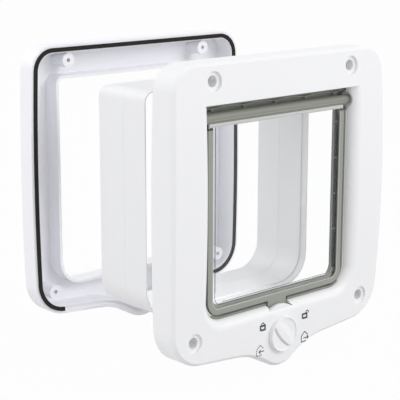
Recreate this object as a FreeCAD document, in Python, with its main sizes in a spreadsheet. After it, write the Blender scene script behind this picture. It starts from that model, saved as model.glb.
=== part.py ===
import FreeCAD, Part
import math
import os
import Sketcher

# A cat flap for a door, pulled apart along the way it goes together: the inner frame with its
# flap and four-way lock, a tunnel of two rings, and the outer frame.
# X runs to the right as seen from the room, Y towards the outdoors and Z up.
# The origin is the centre of the inner frame's screw pattern, on the plane that meets the door.

# The driving dimensions, in millimetres and degrees. A setback is a distance behind the plane of
# the inner frame's face at its screws, and a drop or bottom is a distance below the origin.
SIZES = {
    # Outline that both frames share
    "frame_half_width": 99.8,
    "frame_top": 95.8,
    "frame_side_radius": 2000.0,
    "frame_widest_drop": 10.0,
    "frame_top_corner": 18.0,
    "frame_bottom_corner": 26.0,
    "frame_bottom_slope": 4.8,
    "lobe_radius": 23.0,
    "lobe_edge_offset": 11.9,
    "lobe_sweep_radius": 58.5,
    "dial_drop": 95.0,
    # Inner frame
    "frame_depth": 19.0,
    "frame_wall": 2.4,
    "face_edge_cut": 2.1,
    "dome_rise": 2.6,
    "dome_radius": 1300.0,
    "dome_blend": 250.0,
    "dome_height": 8.0,
    "opening_half_width": 67.5,
    "opening_top": 69.2,
    "opening_bottom": 74.3,
    "opening_corner": 15.0,
    "opening_bevel": 7.0,
    "collar_wall": 2.2,
    # Screw places
    "screw_top_x": 64.0,
    "screw_bottom_x": 80.0,
    "screw_rise": 84.0,
    "screw_well_radius": 6.5,
    "screw_well_depth": 1.6,
    "screw_head_radius": 3.8,
    "screw_head_depth": 7.0,
    "screw_hole_radius": 2.6,
    "screw_boss_half": 6.4,
    "pilot_radius": 1.5,
    "pilot_boss_radius": 5.2,
    "pilot_depth": 12.0,
    # Seal ring and its soft lips
    "ring_setback": 7.2,
    "ring_step": 2.6,
    "ring_fit": 0.15,
    "ring_nose_setback": 5.5,
    "ring_inset": 1.5,
    "ring_top_drop": 5.8,
    "ring_top_setback": 9.0,
    "groove_setback": 12.4,
    "groove_width": 3.8,
    "groove_depth": 1.0,
    "top_groove_height": 2.7,
    "top_groove_depth": 2.0,
    "lip_thickness": 0.9,
    "lip_room": 1.1,
    "lip_reach": 0.7,
    "top_lip_reach": 0.4,
    "top_post_height": 2.1,
    "fin_setback": 12.0,
    "fin_thickness": 1.2,
    "fin_drop": 2.2,
    "post_pitch": 28.8,
    "post_width": 1.2,
    "side_post_rise": 20.2,
    # Hinge
    "hinge_setback": 7.7,
    "hinge_height": 59.2,
    "bar_radius": 3.5,
    "bar_half_length": 69.5,
    "bar_ridge_radius": 0.4,
    "bar_ridge_angle": 47.0,
    "pin_radius": 1.5,
    "pin_half_length": 73.2,
    "pin_clearance": 0.05,
    "bush_radius": 6.0,
    "bush_start": 69.9,
    "bush_end": 73.8,
    "hinge_boss_half": 7.4,
    "hinge_boss_start": 71.6,
    "hinge_boss_end": 75.4,
    "hinge_room": 6.4,
    # Flap
    "flap_setback": 5.0,
    "flap_thickness": 5.0,
    "flap_half_width": 64.0,
    "flap_leg_top": 52.0,
    "flap_bottom": 71.3,
    "flap_corner": 10.0,
    "flap_rim_width": 4.5,
    "pane_thickness": 3.0,
    "pane_inset": 1.1,
    "pane_fit": 0.05,
    "pane_top": 57.1,
    "tab_half_width": 8.75,
    "tab_bottom": 78.0,
    "tab_top": 70.5,
    "magnet_half_width": 6.5,
    "magnet_top": 71.8,
    "magnet_bottom": 77.0,
    "magnet_depth": 3.0,
    # Lock
    "lock_plate": 1.2,
    "chamber_radius": 21.1,
    "chamber_end": 13.5,
    "slot_half_width": 10.3,
    "slot_bottom": 79.5,
    "slot_rise": 3.0,
    "disc_radius": 20.5,
    "disc_flat": 16.2,
    "front_disc_setback": 1.4,
    "front_disc_thickness": 2.8,
    "rear_disc_setback": 11.0,
    "rear_disc_thickness": 2.2,
    "knob_radius": 12.25,
    "knob_base": 1.3,
    "knob_rise": 3.2,
    "knob_gap": 0.1,
    "knob_border": 1.0,
    "grip_half_width": 2.6,
    "grip_angle": 48.0,
    "hub_radius": 8.9,
    "hub_hole_radius": 9.0,
    "spindle_half": 5.0,
    "spindle_neck_half": 3.5,
    "pilot_clearance": 0.05,
    "dial_pilot_radius": 1.2,
    "dial_pilot_depth": 8.0,
    "dial_screw_head": 3.0,
    "dial_screw_head_height": 1.4,
    "washer_radius": 6.0,
    "washer_thickness": 0.5,
    "shelf_half_width": 16.5,
    "shelf_top": 77.2,
    "shelf_bottom": 84.5,
    "shelf_setback": 5.4,
    "shelf_end": 10.0,
    "sill_magnet_half_width": 8.0,
    "sill_magnet_top": 80.4,
    "sill_magnet_bottom": 83.4,
    "magnet_setback": 6.4,
    "cover_setback": 15.6,
    "cover_thickness": 1.8,
    "cover_top": 84.8,
    "cover_half_width": 33.0,
    "cover_edge_gap": 3.2,
    "cover_rib_x": 27.5,
    "cover_rib_half": 0.9,
    "cover_rib_top": 88.0,
    "cover_rib_bottom": 98.0,
    # Tunnel
    "tunnel_start": 33.0,
    "tunnel_pitch": 22.5,
    "tunnel_spigot": 5.0,
    "tunnel_half_width": 75.0,
    "tunnel_top": 71.0,
    "tunnel_bottom": 81.0,
    "tunnel_top_corner": 5.3,
    "tunnel_bottom_corner": 20.0,
    "tunnel_wall": 2.2,
    "spigot_wall": 1.05,
    "socket_cut": 1.15,
    "spigot_end_gap": 0.1,
    # Outer frame
    "outer_start": 130.5,
    "outer_depth": 18.5,
    "outer_edge_cut": 5.3,
    "outer_rim_width": 5.8,
    "outer_plate": 2.4,
    "outer_collar_gap": 3.5,
    "outer_boss_gap": 2.5,
    "outer_half_width": 72.4,
    "outer_opening_top": 71.0,
    "outer_opening_bottom": 79.5,
    "outer_top_corner": 3.5,
    "outer_bottom_corner": 18.0,
    "outer_opening_cut": 1.5,
    "seal_inset": 3.5,
    "seal_half_width": 1.5,
    "seal_groove_depth": 1.9,
    "seal_proud": 0.9,
    "seal_gap_half_width": 74.4,
}
SHEET = "Sizes"

# The least change of volume, in cubic millimetres, that shows that a feature worked
LEAST_CHANGE = 0.01

# How far from its place a point may lie, in millimetres, and still count as there
SLACK = 0.001

doc = FreeCAD.newDocument("cat_flap")
pieces = []


class Size:
    """A driving dimension, or a sum of them: its number and the sheet expression that gives it."""

    def __init__(self, number, text):
        self.number = number
        self.text = text

    def __add__(self, other):
        return Size(self.number + other.number, f"({self.text} + {other.text})")

    def __sub__(self, other):
        return Size(self.number - other.number, f"({self.text} - {other.text})")

    def __neg__(self):
        return Size(-self.number, f"(-{self.text})")

    def __mul__(self, factor):
        return Size(self.number * factor, f"({self.text} * {factor})")


ZERO = Size(0.0, "0")
OVERSHOOT = Size(1.0, "1")


def of_sheet(alias):
    """The driving dimension with this name."""
    return Size(SIZES[alias], f"{SHEET}.{alias}")


def plain(number):
    """A clearance or overshoot that drives nothing else."""
    return Size(number, str(number))


def behind_face(alias):
    """The Y of something that lies this far behind the inner frame's face."""
    return of_sheet(alias) - of_sheet("frame_depth")


def fill_sheet():
    """Write the driving dimensions to the sheet, one row each, with an alias."""
    sheet = doc.addObject("Spreadsheet::Sheet", SHEET)
    for row, (alias, number) in enumerate(SIZES.items(), start=1):
        sheet.set(f"A{row}", alias.replace("_", " "))
        sheet.set(f"B{row}", str(number))
        sheet.setAlias(f"B{row}", alias)
    doc.recompute()


def bind(item, target, size):
    """Tie one property or constraint to the sheet."""
    item.setExpression(target, size.text)


class Drawing:
    """A sketch that is being filled with loops whose sizes are bound to the sheet."""

    def __init__(self, sketch):
        self.sketch = sketch

    def add(self, shapes):
        """Add curves and return the number of the first one."""
        first = self.sketch.GeometryCount
        for shape in shapes:
            self.sketch.addGeometry(shape, False)
        return first

    def fix(self, *rule):
        """Add a constraint that has no size."""
        self.sketch.addConstraint(Sketcher.Constraint(*rule))

    def size(self, kind, items, size):
        """Add a constraint whose value is a size."""
        number = self.sketch.addConstraint(Sketcher.Constraint(kind, *items, size.number))
        bind(self.sketch, f"Constraints[{number}]", size)

    def angle(self, item, size):
        """Hold a line's direction at an angle in degrees."""
        rule = Sketcher.Constraint("Angle", item, math.radians(size.number))
        number = self.sketch.addConstraint(rule)
        self.sketch.setExpression(f"Constraints[{number}]", f"{size.text} * 1 deg")

    def place(self, item, end, across=None, up=None):
        """Hold a point at a distance from the sketch's origin, on either side of it."""
        for kind, axis, size in (("DistanceX", -2, across), ("DistanceY", -1, up)):
            if size is None:
                continue
            if abs(size.number) < 1e-9:
                self.fix("PointOnObject", item, end, axis)
            elif size.number > 0:
                self.size(kind, (-1, 1, item, end), size)
            else:
                self.size(kind, (item, end, -1, 1), -size)


def arc(centre_x, centre_z, radius, start, end):
    """An arc between two angles in radians, anticlockwise."""
    circle = Part.Circle(FreeCAD.Vector(centre_x, centre_z, 0), FreeCAD.Vector(0, 0, 1), radius)
    return Part.ArcOfCircle(circle, start, end)


def line(start, end):
    """A straight edge between two points given as pairs."""
    return Part.LineSegment(FreeCAD.Vector(*start, 0), FreeCAD.Vector(*end, 0))


def disc(radius, across=ZERO, up=ZERO):
    """A circular loop."""

    def draw(drawing):
        centre = FreeCAD.Vector(across.number, up.number, 0)
        first = drawing.add([Part.Circle(centre, FreeCAD.Vector(0, 0, 1), radius.number)])
        drawing.size("Radius", (first,), radius)
        drawing.place(first, 3, across, up)

    return draw


def block(left, right, low, high):
    """A rectangular loop between two places across and two up."""

    def draw(drawing):
        corners = [
            (left.number, low.number),
            (right.number, low.number),
            (right.number, high.number),
            (left.number, high.number),
        ]
        sides = [line(corners[n], corners[(n + 1) % 4]) for n in range(4)]
        first = drawing.add(sides)
        for n in range(4):
            drawing.fix("Coincident", first + n, 2, first + (n + 1) % 4, 1)
            drawing.fix("Horizontal" if n % 2 == 0 else "Vertical", first + n)
        drawing.place(first, 1, left, low)
        drawing.place(first + 2, 1, right, high)

    return draw


class Window:
    """A rectangular opening with round lower corners, and round or square upper ones."""

    def __init__(self, half_width, top, bottom, bottom_corner, top_corner=None):
        self.half_width = half_width
        self.top = top
        self.bottom = bottom
        self.bottom_corner = bottom_corner
        self.top_corner = top_corner

    def grown(self, sides, top=None):
        """The same opening, larger all round by one size, or by another size at its top."""
        return Window(
            self.half_width + sides,
            self.top + (sides if top is None else top),
            self.bottom + sides,
            self.bottom_corner + sides,
            None if self.top_corner is None else self.top_corner + sides,
        )

    def draw(self, drawing):
        """Add the opening's outline as one closed loop."""
        width, top, bottom = self.half_width.number, self.top.number, -self.bottom.number
        low = self.bottom_corner.number
        high = 0.0 if self.top_corner is None else self.top_corner.number
        quarter = math.pi / 2
        shapes = [
            line((low - width, bottom), (width - low, bottom)),
            arc(width - low, bottom + low, low, -quarter, 0),
            line((width, bottom + low), (width, top - high)),
            arc(width - high, top - high, high, 0, quarter),
            line((width - high, top), (high - width, top)),
            arc(high - width, top - high, high, quarter, 2 * quarter),
            line((-width, top - high), (-width, bottom + low)),
            arc(low - width, bottom + low, low, 2 * quarter, 3 * quarter),
        ]
        corners = {1: self.bottom_corner, 3: self.top_corner, 5: self.top_corner, 7: self.bottom_corner}
        if self.top_corner is None:
            shapes = [shapes[n] for n in (0, 1, 2, 4, 6, 7)]
            corners = {1: self.bottom_corner, 5: self.bottom_corner}
        first = drawing.add(shapes)
        count = len(shapes)
        for n in range(count):
            following = (n + 1) % count
            touch = "Tangent" if n in corners or following in corners else "Coincident"
            drawing.fix(touch, first + n, 2, first + following, 1)
        lines = [n for n in range(count) if n not in corners]
        for n, rule in zip(lines, ("Horizontal", "Vertical", "Horizontal", "Vertical")):
            drawing.fix(rule, first + n)
        for n, radius in corners.items():
            drawing.size("Radius", (first + n,), radius)
        base, right, head, left = (first + n for n in lines)
        drawing.place(base, 1, up=-self.bottom)
        drawing.place(right, 1, across=self.half_width)
        drawing.place(head, 1, up=self.top)
        drawing.place(left, 1, across=-self.half_width)


def frame_outline(inset=ZERO):
    """The frames' outer shape, moved inwards: bowed sides, and a round lobe below for the dial."""

    def draw(drawing):
        half_width = of_sheet("frame_half_width") - inset
        top = of_sheet("frame_top") - inset
        side = of_sheet("frame_side_radius") - inset
        widest = of_sheet("frame_widest_drop")
        high = of_sheet("frame_top_corner") - inset
        low = of_sheet("frame_bottom_corner") - inset
        slope = of_sheet("frame_bottom_slope")
        lobe = of_sheet("lobe_radius") - inset
        offset = of_sheet("lobe_edge_offset") - inset
        sweep = of_sheet("lobe_sweep_radius") + inset
        drop = of_sheet("dial_drop")

        # Right half, worked out from the dial's centre and the centre of the bowed side
        tilt = math.radians(slope.number)
        along = (math.cos(tilt), math.sin(tilt))
        down = (math.sin(tilt), -math.cos(tilt))
        side_x = half_width.number - side.number
        side_z = -widest.number
        high_z = top.number - high.number
        high_x = side_x + math.sqrt((side.number - high.number) ** 2 - (high_z - side_z) ** 2)
        side_end = math.atan2(high_z - side_z, high_x - side_x)

        def beside_edge(distance, run):
            """A point this far outside the dial's centre square to the lower edge, and along it."""
            x = distance * down[0] + run * along[0]
            z = distance * down[1] + run * along[1] - drop.number
            return x, z

        reach = side.number - low.number
        near_x, near_z = beside_edge(offset.number - low.number, 0.0)
        lead = (near_x - side_x) * along[0] + (near_z - side_z) * along[1]
        gap = (near_x - side_x) ** 2 + (near_z - side_z) ** 2
        run = -lead + math.sqrt(lead ** 2 - gap + reach ** 2)
        low_x, low_z = beside_edge(offset.number - low.number, run)
        side_start = math.atan2(low_z - side_z, low_x - side_x)
        span = math.sqrt((lobe.number + sweep.number) ** 2 - (offset.number + sweep.number) ** 2)
        sweep_x, sweep_z = beside_edge(offset.number + sweep.number, span)
        lobe_end = math.atan2(sweep_z + drop.number, sweep_x)
        edge = (beside_edge(offset.number, span), beside_edge(offset.number, run))
        quarter = math.pi / 2

        shapes = [
            arc(0, -drop.number, lobe.number, math.pi - lobe_end, 2 * math.pi + lobe_end),
            arc(sweep_x, sweep_z, sweep.number, quarter + tilt, math.pi + lobe_end),
            line(edge[0], edge[1]),
            arc(low_x, low_z, low.number, tilt - quarter, side_start),
            arc(side_x, side_z, side.number, side_start, side_end),
            arc(high_x, high_z, high.number, side_end, quarter),
            line((high_x, top.number), (-high_x, top.number)),
            arc(-high_x, high_z, high.number, quarter, math.pi - side_end),
            arc(-side_x, side_z, side.number, math.pi - side_end, math.pi - side_start),
            arc(-low_x, low_z, low.number, math.pi - side_start, 3 * quarter - tilt),
            line((-edge[0][0], edge[0][1]), (-edge[1][0], edge[1][1])),
            arc(-sweep_x, sweep_z, sweep.number, -lobe_end, quarter - tilt),
        ]
        first = drawing.add(shapes)
        joints = [
            (0, 2, 1, 2), (1, 1, 2, 1), (2, 2, 3, 1), (3, 2, 4, 1), (4, 2, 5, 1), (5, 2, 6, 1),
            (6, 2, 7, 1), (7, 2, 8, 1), (8, 2, 9, 1), (9, 2, 10, 2), (10, 1, 11, 2), (11, 1, 0, 1),
        ]
        for here, end, there, start in joints:
            drawing.fix("Tangent", first + here, end, first + there, start)
        radii = {0: lobe, 1: sweep, 3: low, 4: side, 5: high, 7: high, 8: side, 9: low, 11: sweep}
        for n, radius in radii.items():
            drawing.size("Radius", (first + n,), radius)
        drawing.place(first, 3, ZERO, -drop)
        drawing.fix("Horizontal", first + 6)
        drawing.place(first + 6, 1, up=top)
        drawing.angle(first + 2, slope)
        drawing.angle(first + 10, plain(180.0) - slope)
        for n in (2, 10):
            drawing.size("Distance", (first, 3, first + n), offset)
        drawing.place(first + 4, 3, half_width - side, -widest)
        drawing.place(first + 8, 3, side - half_width, -widest)

    return draw


def new_body(label):
    """A body for one piece, noted for export."""
    body = doc.addObject("PartDesign::Body", label)
    body.Label = label
    pieces.append(body)
    return body


def new_sketch(body, name, role, offset, loops):
    """A sketch on one of the body's own planes, moved along the plane's normal."""
    plane = next(item for item in body.Origin.OriginFeatures if item.Role == role)
    sketch = body.newObject("Sketcher::SketchObject", name)
    sketch.AttachmentSupport = [(plane, "")]
    sketch.MapMode = "FlatFace"
    bind(sketch, "AttachmentOffset.Base.z", offset)
    drawing = Drawing(sketch)
    for loop in loops:
        loop(drawing)
    return sketch


def finish_feature(body, feature):
    """Recompute, and stop if the feature left the body as it was."""
    before = 0.0 if feature.BaseFeature is None else feature.BaseFeature.Shape.Volume
    doc.recompute()
    if feature.Shape.isNull() or abs(feature.Shape.Volume - before) < LEAST_CHANGE:
        raise RuntimeError(f"{body.Label}: {feature.Name} changes nothing")
    return feature


def extrude(body, kind, name, sketch, length, backwards):
    """Pad or pocket a sketch by a length."""
    feature = body.newObject(f"PartDesign::{kind}", name)
    feature.Profile = sketch
    bind(feature, "Length", length)
    feature.Reversed = backwards
    return finish_feature(body, feature)


def pad(body, name, start, length, *loops):
    """Material from one Y towards the outdoors."""
    sketch = new_sketch(body, f"{name}_sketch", "XZ_Plane", -start, loops)
    return extrude(body, "Pad", name, sketch, length, True)


def pocket(body, name, start, length, *loops):
    """A cut from one Y towards the outdoors."""
    sketch = new_sketch(body, f"{name}_sketch", "XZ_Plane", -start, loops)
    return extrude(body, "Pocket", name, sketch, length, False)


def side_pad(body, name, start, length, *loops):
    """Material from one X to the right."""
    sketch = new_sketch(body, f"{name}_sketch", "YZ_Plane", start, loops)
    return extrude(body, "Pad", name, sketch, length, False)


def side_pocket(body, name, start, length, *loops):
    """A cut from one X to the right."""
    sketch = new_sketch(body, f"{name}_sketch", "YZ_Plane", start, loops)
    return extrude(body, "Pocket", name, sketch, length, True)


def edges_between(shape, front, back, keep):
    """Names of the edges whose ends lie between two Y and pass a test."""
    names = []
    for number, edge in enumerate(shape.Edges, start=1):
        ends = [vertex.Point for vertex in edge.Vertexes]
        if all(front < end.y < back for end in ends) and keep(ends):
            names.append(f"Edge{number}")
    return names


def edges_on_plane(shape, y, keep):
    """Names of the edges in one plane square to Y that pass a test."""
    return edges_between(shape, y.number - SLACK, y.number + SLACK, keep)


def soften(body, kind, name, size, names):
    """Round or chamfer the named edges of a body."""
    base = body.Tip
    feature = body.newObject(f"PartDesign::{kind}", name)
    feature.Base = (base, names)
    bind(feature, "Radius" if kind == "Fillet" else "Size", size)
    return finish_feature(body, feature)


def every_edge(ends):
    """A test that each edge passes."""
    return True


def segment(radius, chord, side):
    """A loop between a level chord and the circle above it, or below it if side is -1."""

    def draw(drawing):
        half = math.sqrt(radius.number ** 2 - chord.number ** 2)
        rise = math.atan2(chord.number, half)
        turn = 0.0 if side > 0 else math.pi
        edge = line((half * side, chord.number * side), (-half * side, chord.number * side))
        first = drawing.add([arc(0, 0, radius.number, rise + turn, math.pi - rise + turn), edge])
        drawing.fix("Coincident", first, 1, first + 1, 1)
        drawing.fix("Coincident", first, 2, first + 1, 2)
        drawing.fix("Coincident", first, 3, -1, 1)
        drawing.fix("Horizontal", first + 1)
        drawing.size("Radius", (first,), radius)
        drawing.place(first + 1, 1, up=chord * side)

    return draw


def before_dome():
    """The room in front of the domed face, seen from the side. At the lock the face is flat."""

    def draw(drawing):
        face = -of_sheet("frame_depth")
        rise = of_sheet("dome_rise")
        radius = of_sheet("dome_radius")
        blend = of_sheet("dome_blend")
        height = of_sheet("dome_height")
        top = of_sheet("frame_top") + OVERSHOOT
        low = -of_sheet("dial_drop") - of_sheet("lobe_radius") - OVERSHOOT
        front = face - rise - OVERSHOOT

        # The dome's arc and the hollow arc that leads it into the flat touch between their centres
        reach = radius.number + blend.number
        span = math.sqrt(reach ** 2 - (reach - rise.number) ** 2)
        low_turn = math.asin(span / reach)
        top_turn = math.asin((top.number - height.number) / radius.number)
        centre = face.number - rise.number + radius.number
        flat_top = height.number - span
        top_y = centre - radius.number * math.cos(top_turn)
        first = drawing.add([
            arc(centre, height.number, radius.number, math.pi - top_turn, math.pi + low_turn),
            arc(face.number - blend.number, flat_top, blend.number, 0, low_turn),
            line((face.number, flat_top), (face.number, low.number)),
            line((face.number, low.number), (front.number, low.number)),
            line((front.number, low.number), (front.number, top.number)),
            line((front.number, top.number), (top_y, top.number)),
        ])
        drawing.fix("Tangent", first, 2, first + 1, 2)
        drawing.fix("Tangent", first + 1, 1, first + 2, 1)
        for n in (3, 4, 5):
            drawing.fix("Coincident", first + n - 1, 2, first + n, 1)
        drawing.fix("Coincident", first + 5, 2, first, 1)
        for n, rule in ((2, "Vertical"), (3, "Horizontal"), (4, "Vertical"), (5, "Horizontal")):
            drawing.fix(rule, first + n)
        drawing.size("Radius", (first,), radius)
        drawing.size("Radius", (first + 1,), blend)
        drawing.place(first, 3, face - rise + radius, height)
        drawing.place(first + 2, 2, face, low)
        drawing.place(first + 5, 1, front, top)

    return draw


def opening():
    """The inner frame's opening, without its bevel."""
    return Window(
        of_sheet("opening_half_width"),
        of_sheet("opening_top"),
        of_sheet("opening_bottom"),
        of_sheet("opening_corner"),
    )


def ring_seat():
    """The wider part of the opening, behind its step, where the seal ring sits."""
    return opening().grown(of_sheet("ring_step"), ZERO)


def ring_mouth():
    """The inside of the seal ring."""
    return opening().grown(-of_sheet("ring_inset"), -of_sheet("ring_top_drop"))


def flap_form():
    """The outside of the flap's rim."""
    return Window(
        of_sheet("flap_half_width"),
        of_sheet("flap_leg_top"),
        of_sheet("flap_bottom"),
        of_sheet("flap_corner"),
    )


def tunnel_bore():
    """The inside of the tunnel."""
    return Window(
        of_sheet("tunnel_half_width"),
        of_sheet("tunnel_top"),
        of_sheet("tunnel_bottom"),
        of_sheet("tunnel_bottom_corner"),
        of_sheet("tunnel_top_corner"),
    )


def outer_opening():
    """The inside of the outer frame's collar."""
    return Window(
        of_sheet("outer_half_width"),
        of_sheet("outer_opening_top"),
        of_sheet("outer_opening_bottom"),
        of_sheet("outer_bottom_corner"),
        of_sheet("outer_top_corner"),
    )


def screw_places():
    """Where the four mounting screws go, across and up."""
    rise = of_sheet("screw_rise")
    high = of_sheet("screw_top_x")
    low = of_sheet("screw_bottom_x")
    return [(high, rise), (-high, rise), (low, -rise), (-low, -rise)]


def at_screws(radius):
    """One circular loop for each of the four mounting screws."""
    return [disc(radius, across, up) for across, up in screw_places()]


def blocks_at_screws(half):
    """One square loop for each of the four mounting screws."""
    blocks = []
    for across, up in screw_places():
        blocks.append(block(across - half, across + half, up - half, up + half))
    return blocks


def face_edges(body, keep):
    """Names of the edges on the inner frame's face that pass a test."""
    face = -SIZES["frame_depth"]
    crown = face - SIZES["dome_rise"]
    return edges_between(body.Tip.Shape, crown - SLACK, face + SLACK, keep)


def around_face(ends):
    """The face's outer edges, without the seams that cross the dome."""
    level = abs(ends[0].z - ends[-1].z) < SLACK
    crosses = level and abs(ends[0].x - ends[-1].x) > SIZES["frame_half_width"]
    return not crosses or ends[0].z > SIZES["opening_top"]


def beside_opening(ends):
    """The edges down the sides of the opening and along its bottom."""
    wide = SIZES["opening_half_width"] + SLACK
    deep = SIZES["opening_bottom"] + SLACK
    top = SIZES["opening_top"]
    near = all(abs(end.x) < wide and -deep < end.z < top + SLACK for end in ends)
    return near and any(end.z < top - SLACK for end in ends)


def make_inner_frame():
    """White shell: domed face, bevelled opening, collar, screw wells, lock chamber, hinge pockets."""
    body = new_body("inner_frame")
    depth = of_sheet("frame_depth")
    face = -depth
    crown = face - of_sheet("dome_rise")
    wall = of_sheet("frame_wall")
    wide = of_sheet("frame_half_width") + OVERSHOOT
    pad(body, "outer_form", crown, -crown, frame_outline())
    side_pocket(body, "dome", -wide, wide * 2, before_dome())
    soften(body, "Chamfer", "face_edge", of_sheet("face_edge_cut"), face_edges(body, around_face))
    pocket(body, "opening", crown, -crown, opening().draw)
    soften(body, "Fillet", "opening_bevel", of_sheet("opening_bevel"), face_edges(body, beside_opening))
    collar = ring_seat().grown(of_sheet("collar_wall"))
    pocket(body, "hollow", face + wall, depth - wall, frame_outline(wall), collar.draw)
    seat = behind_face("ring_setback")
    pocket(body, "ring_seat", seat, -seat, ring_seat().draw)

    head = of_sheet("screw_head_depth")
    pad(body, "screw_bosses", face + wall, depth - wall, *blocks_at_screws(of_sheet("screw_boss_half")))
    well_end = face + of_sheet("screw_well_depth")
    pocket(body, "screw_wells", crown, well_end - crown, *at_screws(of_sheet("screw_well_radius")))
    pocket(body, "screw_heads", crown, face + head - crown, *at_screws(of_sheet("screw_head_radius")))
    pocket(body, "screw_holes", crown, -crown, *at_screws(of_sheet("screw_hole_radius")))

    plate = of_sheet("lock_plate")
    drop = of_sheet("dial_drop")
    chamber = of_sheet("chamber_end") - plate
    pocket(body, "lock_chamber", face + plate, chamber, disc(of_sheet("chamber_radius"), ZERO, -drop))
    pocket(body, "dial_hole", face, wall, disc(of_sheet("hub_hole_radius"), ZERO, -drop))
    shelf_start = behind_face("shelf_setback")
    shelf_half = of_sheet("shelf_half_width")
    shelf = block(-shelf_half, shelf_half, -of_sheet("shelf_bottom"), -of_sheet("shelf_top"))
    pad(body, "magnet_shelf", shelf_start, behind_face("shelf_end") - shelf_start, shelf)
    magnet_start = behind_face("magnet_setback")
    pocket(body, "magnet_well", magnet_start, behind_face("shelf_end") - magnet_start, sill_magnet_form())
    slot_half = of_sheet("slot_half_width")
    slot_top = of_sheet("slot_rise") - of_sheet("opening_bottom")
    slot = block(-slot_half, slot_half, -of_sheet("slot_bottom"), slot_top)
    pocket(body, "tab_slot", face + plate, depth - plate, slot)

    ribs = []
    for across in (of_sheet("cover_rib_x"), -of_sheet("cover_rib_x")):
        half = of_sheet("cover_rib_half")
        low = -of_sheet("cover_rib_bottom")
        high = -of_sheet("cover_rib_top")
        ribs.append(block(across - half, across + half, low, high))
    pad(body, "cover_ribs", face + wall, of_sheet("cover_setback") - wall, *ribs)

    boss_length = of_sheet("hinge_boss_end") - of_sheet("hinge_boss_start")
    well_length = of_sheet("bush_end") - of_sheet("flap_half_width")
    boss = hinge_block(of_sheet("hinge_boss_half"))
    well = at_hinge(of_sheet("bush_radius"))
    side_pad(body, "right_hinge_boss", of_sheet("hinge_boss_start"), boss_length, boss)
    side_pad(body, "left_hinge_boss", -of_sheet("hinge_boss_end"), boss_length, boss)
    side_pocket(body, "right_hinge_well", of_sheet("flap_half_width"), well_length, well)
    side_pocket(body, "left_hinge_well", -of_sheet("bush_end"), well_length, well)


def at_hinge(radius, forward=ZERO, up=ZERO):
    """A circular loop in a side view, on the hinge's axis or moved from it."""
    return disc(radius, behind_face("hinge_setback") - forward, of_sheet("hinge_height") + up)


def hinge_block(half):
    """A square loop in a side view, about the hinge's axis."""
    axis = behind_face("hinge_setback")
    height = of_sheet("hinge_height")
    return block(axis - half, axis + half, height - half, height + half)


def sill_magnet_form():
    """The sill magnet seen from the room."""
    half = of_sheet("sill_magnet_half_width")
    return block(-half, half, -of_sheet("sill_magnet_bottom"), -of_sheet("sill_magnet_top"))


def make_sill_magnet():
    """Bar magnet in its well on the shelf under the sill."""
    body = new_body("sill_magnet")
    start = behind_face("magnet_setback")
    pad(body, "bar", start, behind_face("shelf_end") - start, sill_magnet_form())


def make_seal_ring():
    """Grey moulding that lines the opening, grooved for the soft lips and parted at the tab."""
    body = new_body("flap_seal_ring")
    fit = of_sheet("ring_fit")
    mouth = ring_mouth()
    start = behind_face("ring_setback") + fit
    nose_start = behind_face("ring_nose_setback")
    pad(body, "band", start, -start, ring_seat().grown(-fit).draw, mouth.draw)
    pad(body, "nose", nose_start, start - nose_start, opening().grown(-fit).draw, mouth.draw)

    half = ring_seat().half_width
    head_start = behind_face("ring_top_setback")
    head = block(-half, half, mouth.top - OVERSHOOT, of_sheet("opening_top"))
    pocket(body, "head_front", nose_start, head_start - nose_start, head)
    room = of_sheet("hinge_room")
    room_length = half - of_sheet("flap_half_width")
    side_pocket(body, "right_hinge_room", of_sheet("flap_half_width"), room_length, at_hinge(room))
    side_pocket(body, "left_hinge_room", -half, room_length, at_hinge(room))

    groove = mouth.grown(of_sheet("groove_depth"), of_sheet("flap_leg_top") - mouth.top)
    groove_start = behind_face("groove_setback")
    pocket(body, "lip_groove", groove_start, of_sheet("groove_width"), groove.draw)
    recess = of_sheet("top_groove_depth")
    recess_half = of_sheet("flap_half_width")
    recess_form = block(
        -recess_half, recess_half, mouth.top - OVERSHOOT, mouth.top + of_sheet("top_groove_height")
    )
    pocket(body, "head_recess", head_start, recess, recess_form)

    slot_half = of_sheet("slot_half_width")
    slot = block(-slot_half, slot_half, -of_sheet("slot_bottom"), -mouth.bottom + of_sheet("slot_rise"))
    pocket(body, "tab_slot", nose_start, -nose_start, slot)
    fin = block(-recess_half, recess_half, mouth.top - of_sheet("fin_drop"), mouth.top + OVERSHOOT)
    pad(body, "rain_fin", behind_face("fin_setback"), of_sheet("fin_thickness"), fin)
    add_posts(body, mouth, groove_start, head_start, recess)


def add_posts(body, mouth, groove_start, head_start, recess):
    """Small posts that hold the lips, evenly spaced along the grooves."""
    pitch = of_sheet("post_pitch")
    half = of_sheet("post_width") * 0.5
    wide = mouth.half_width
    deep = of_sheet("groove_depth")
    low = []
    high = []
    for step in (-1, 0, 1, 2):
        rise = of_sheet("side_post_rise") - pitch * step
        low.append(block(wide, wide + deep, rise - half, rise + half))
        low.append(block(-wide - deep, -wide, rise - half, rise + half))
    for step in (-2, -1, 0, 1, 2):
        across = pitch * step
        high.append(block(across - half, across + half, mouth.top, mouth.top + of_sheet("top_post_height")))
    cheek = (of_sheet("groove_width") - of_sheet("lip_room")) * 0.5
    pad(body, "front_posts", groove_start, cheek, *low)
    pad(body, "rear_posts", groove_start + of_sheet("groove_width") - cheek, cheek, *low)
    pad(body, "head_posts", head_start, recess, *high)


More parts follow.
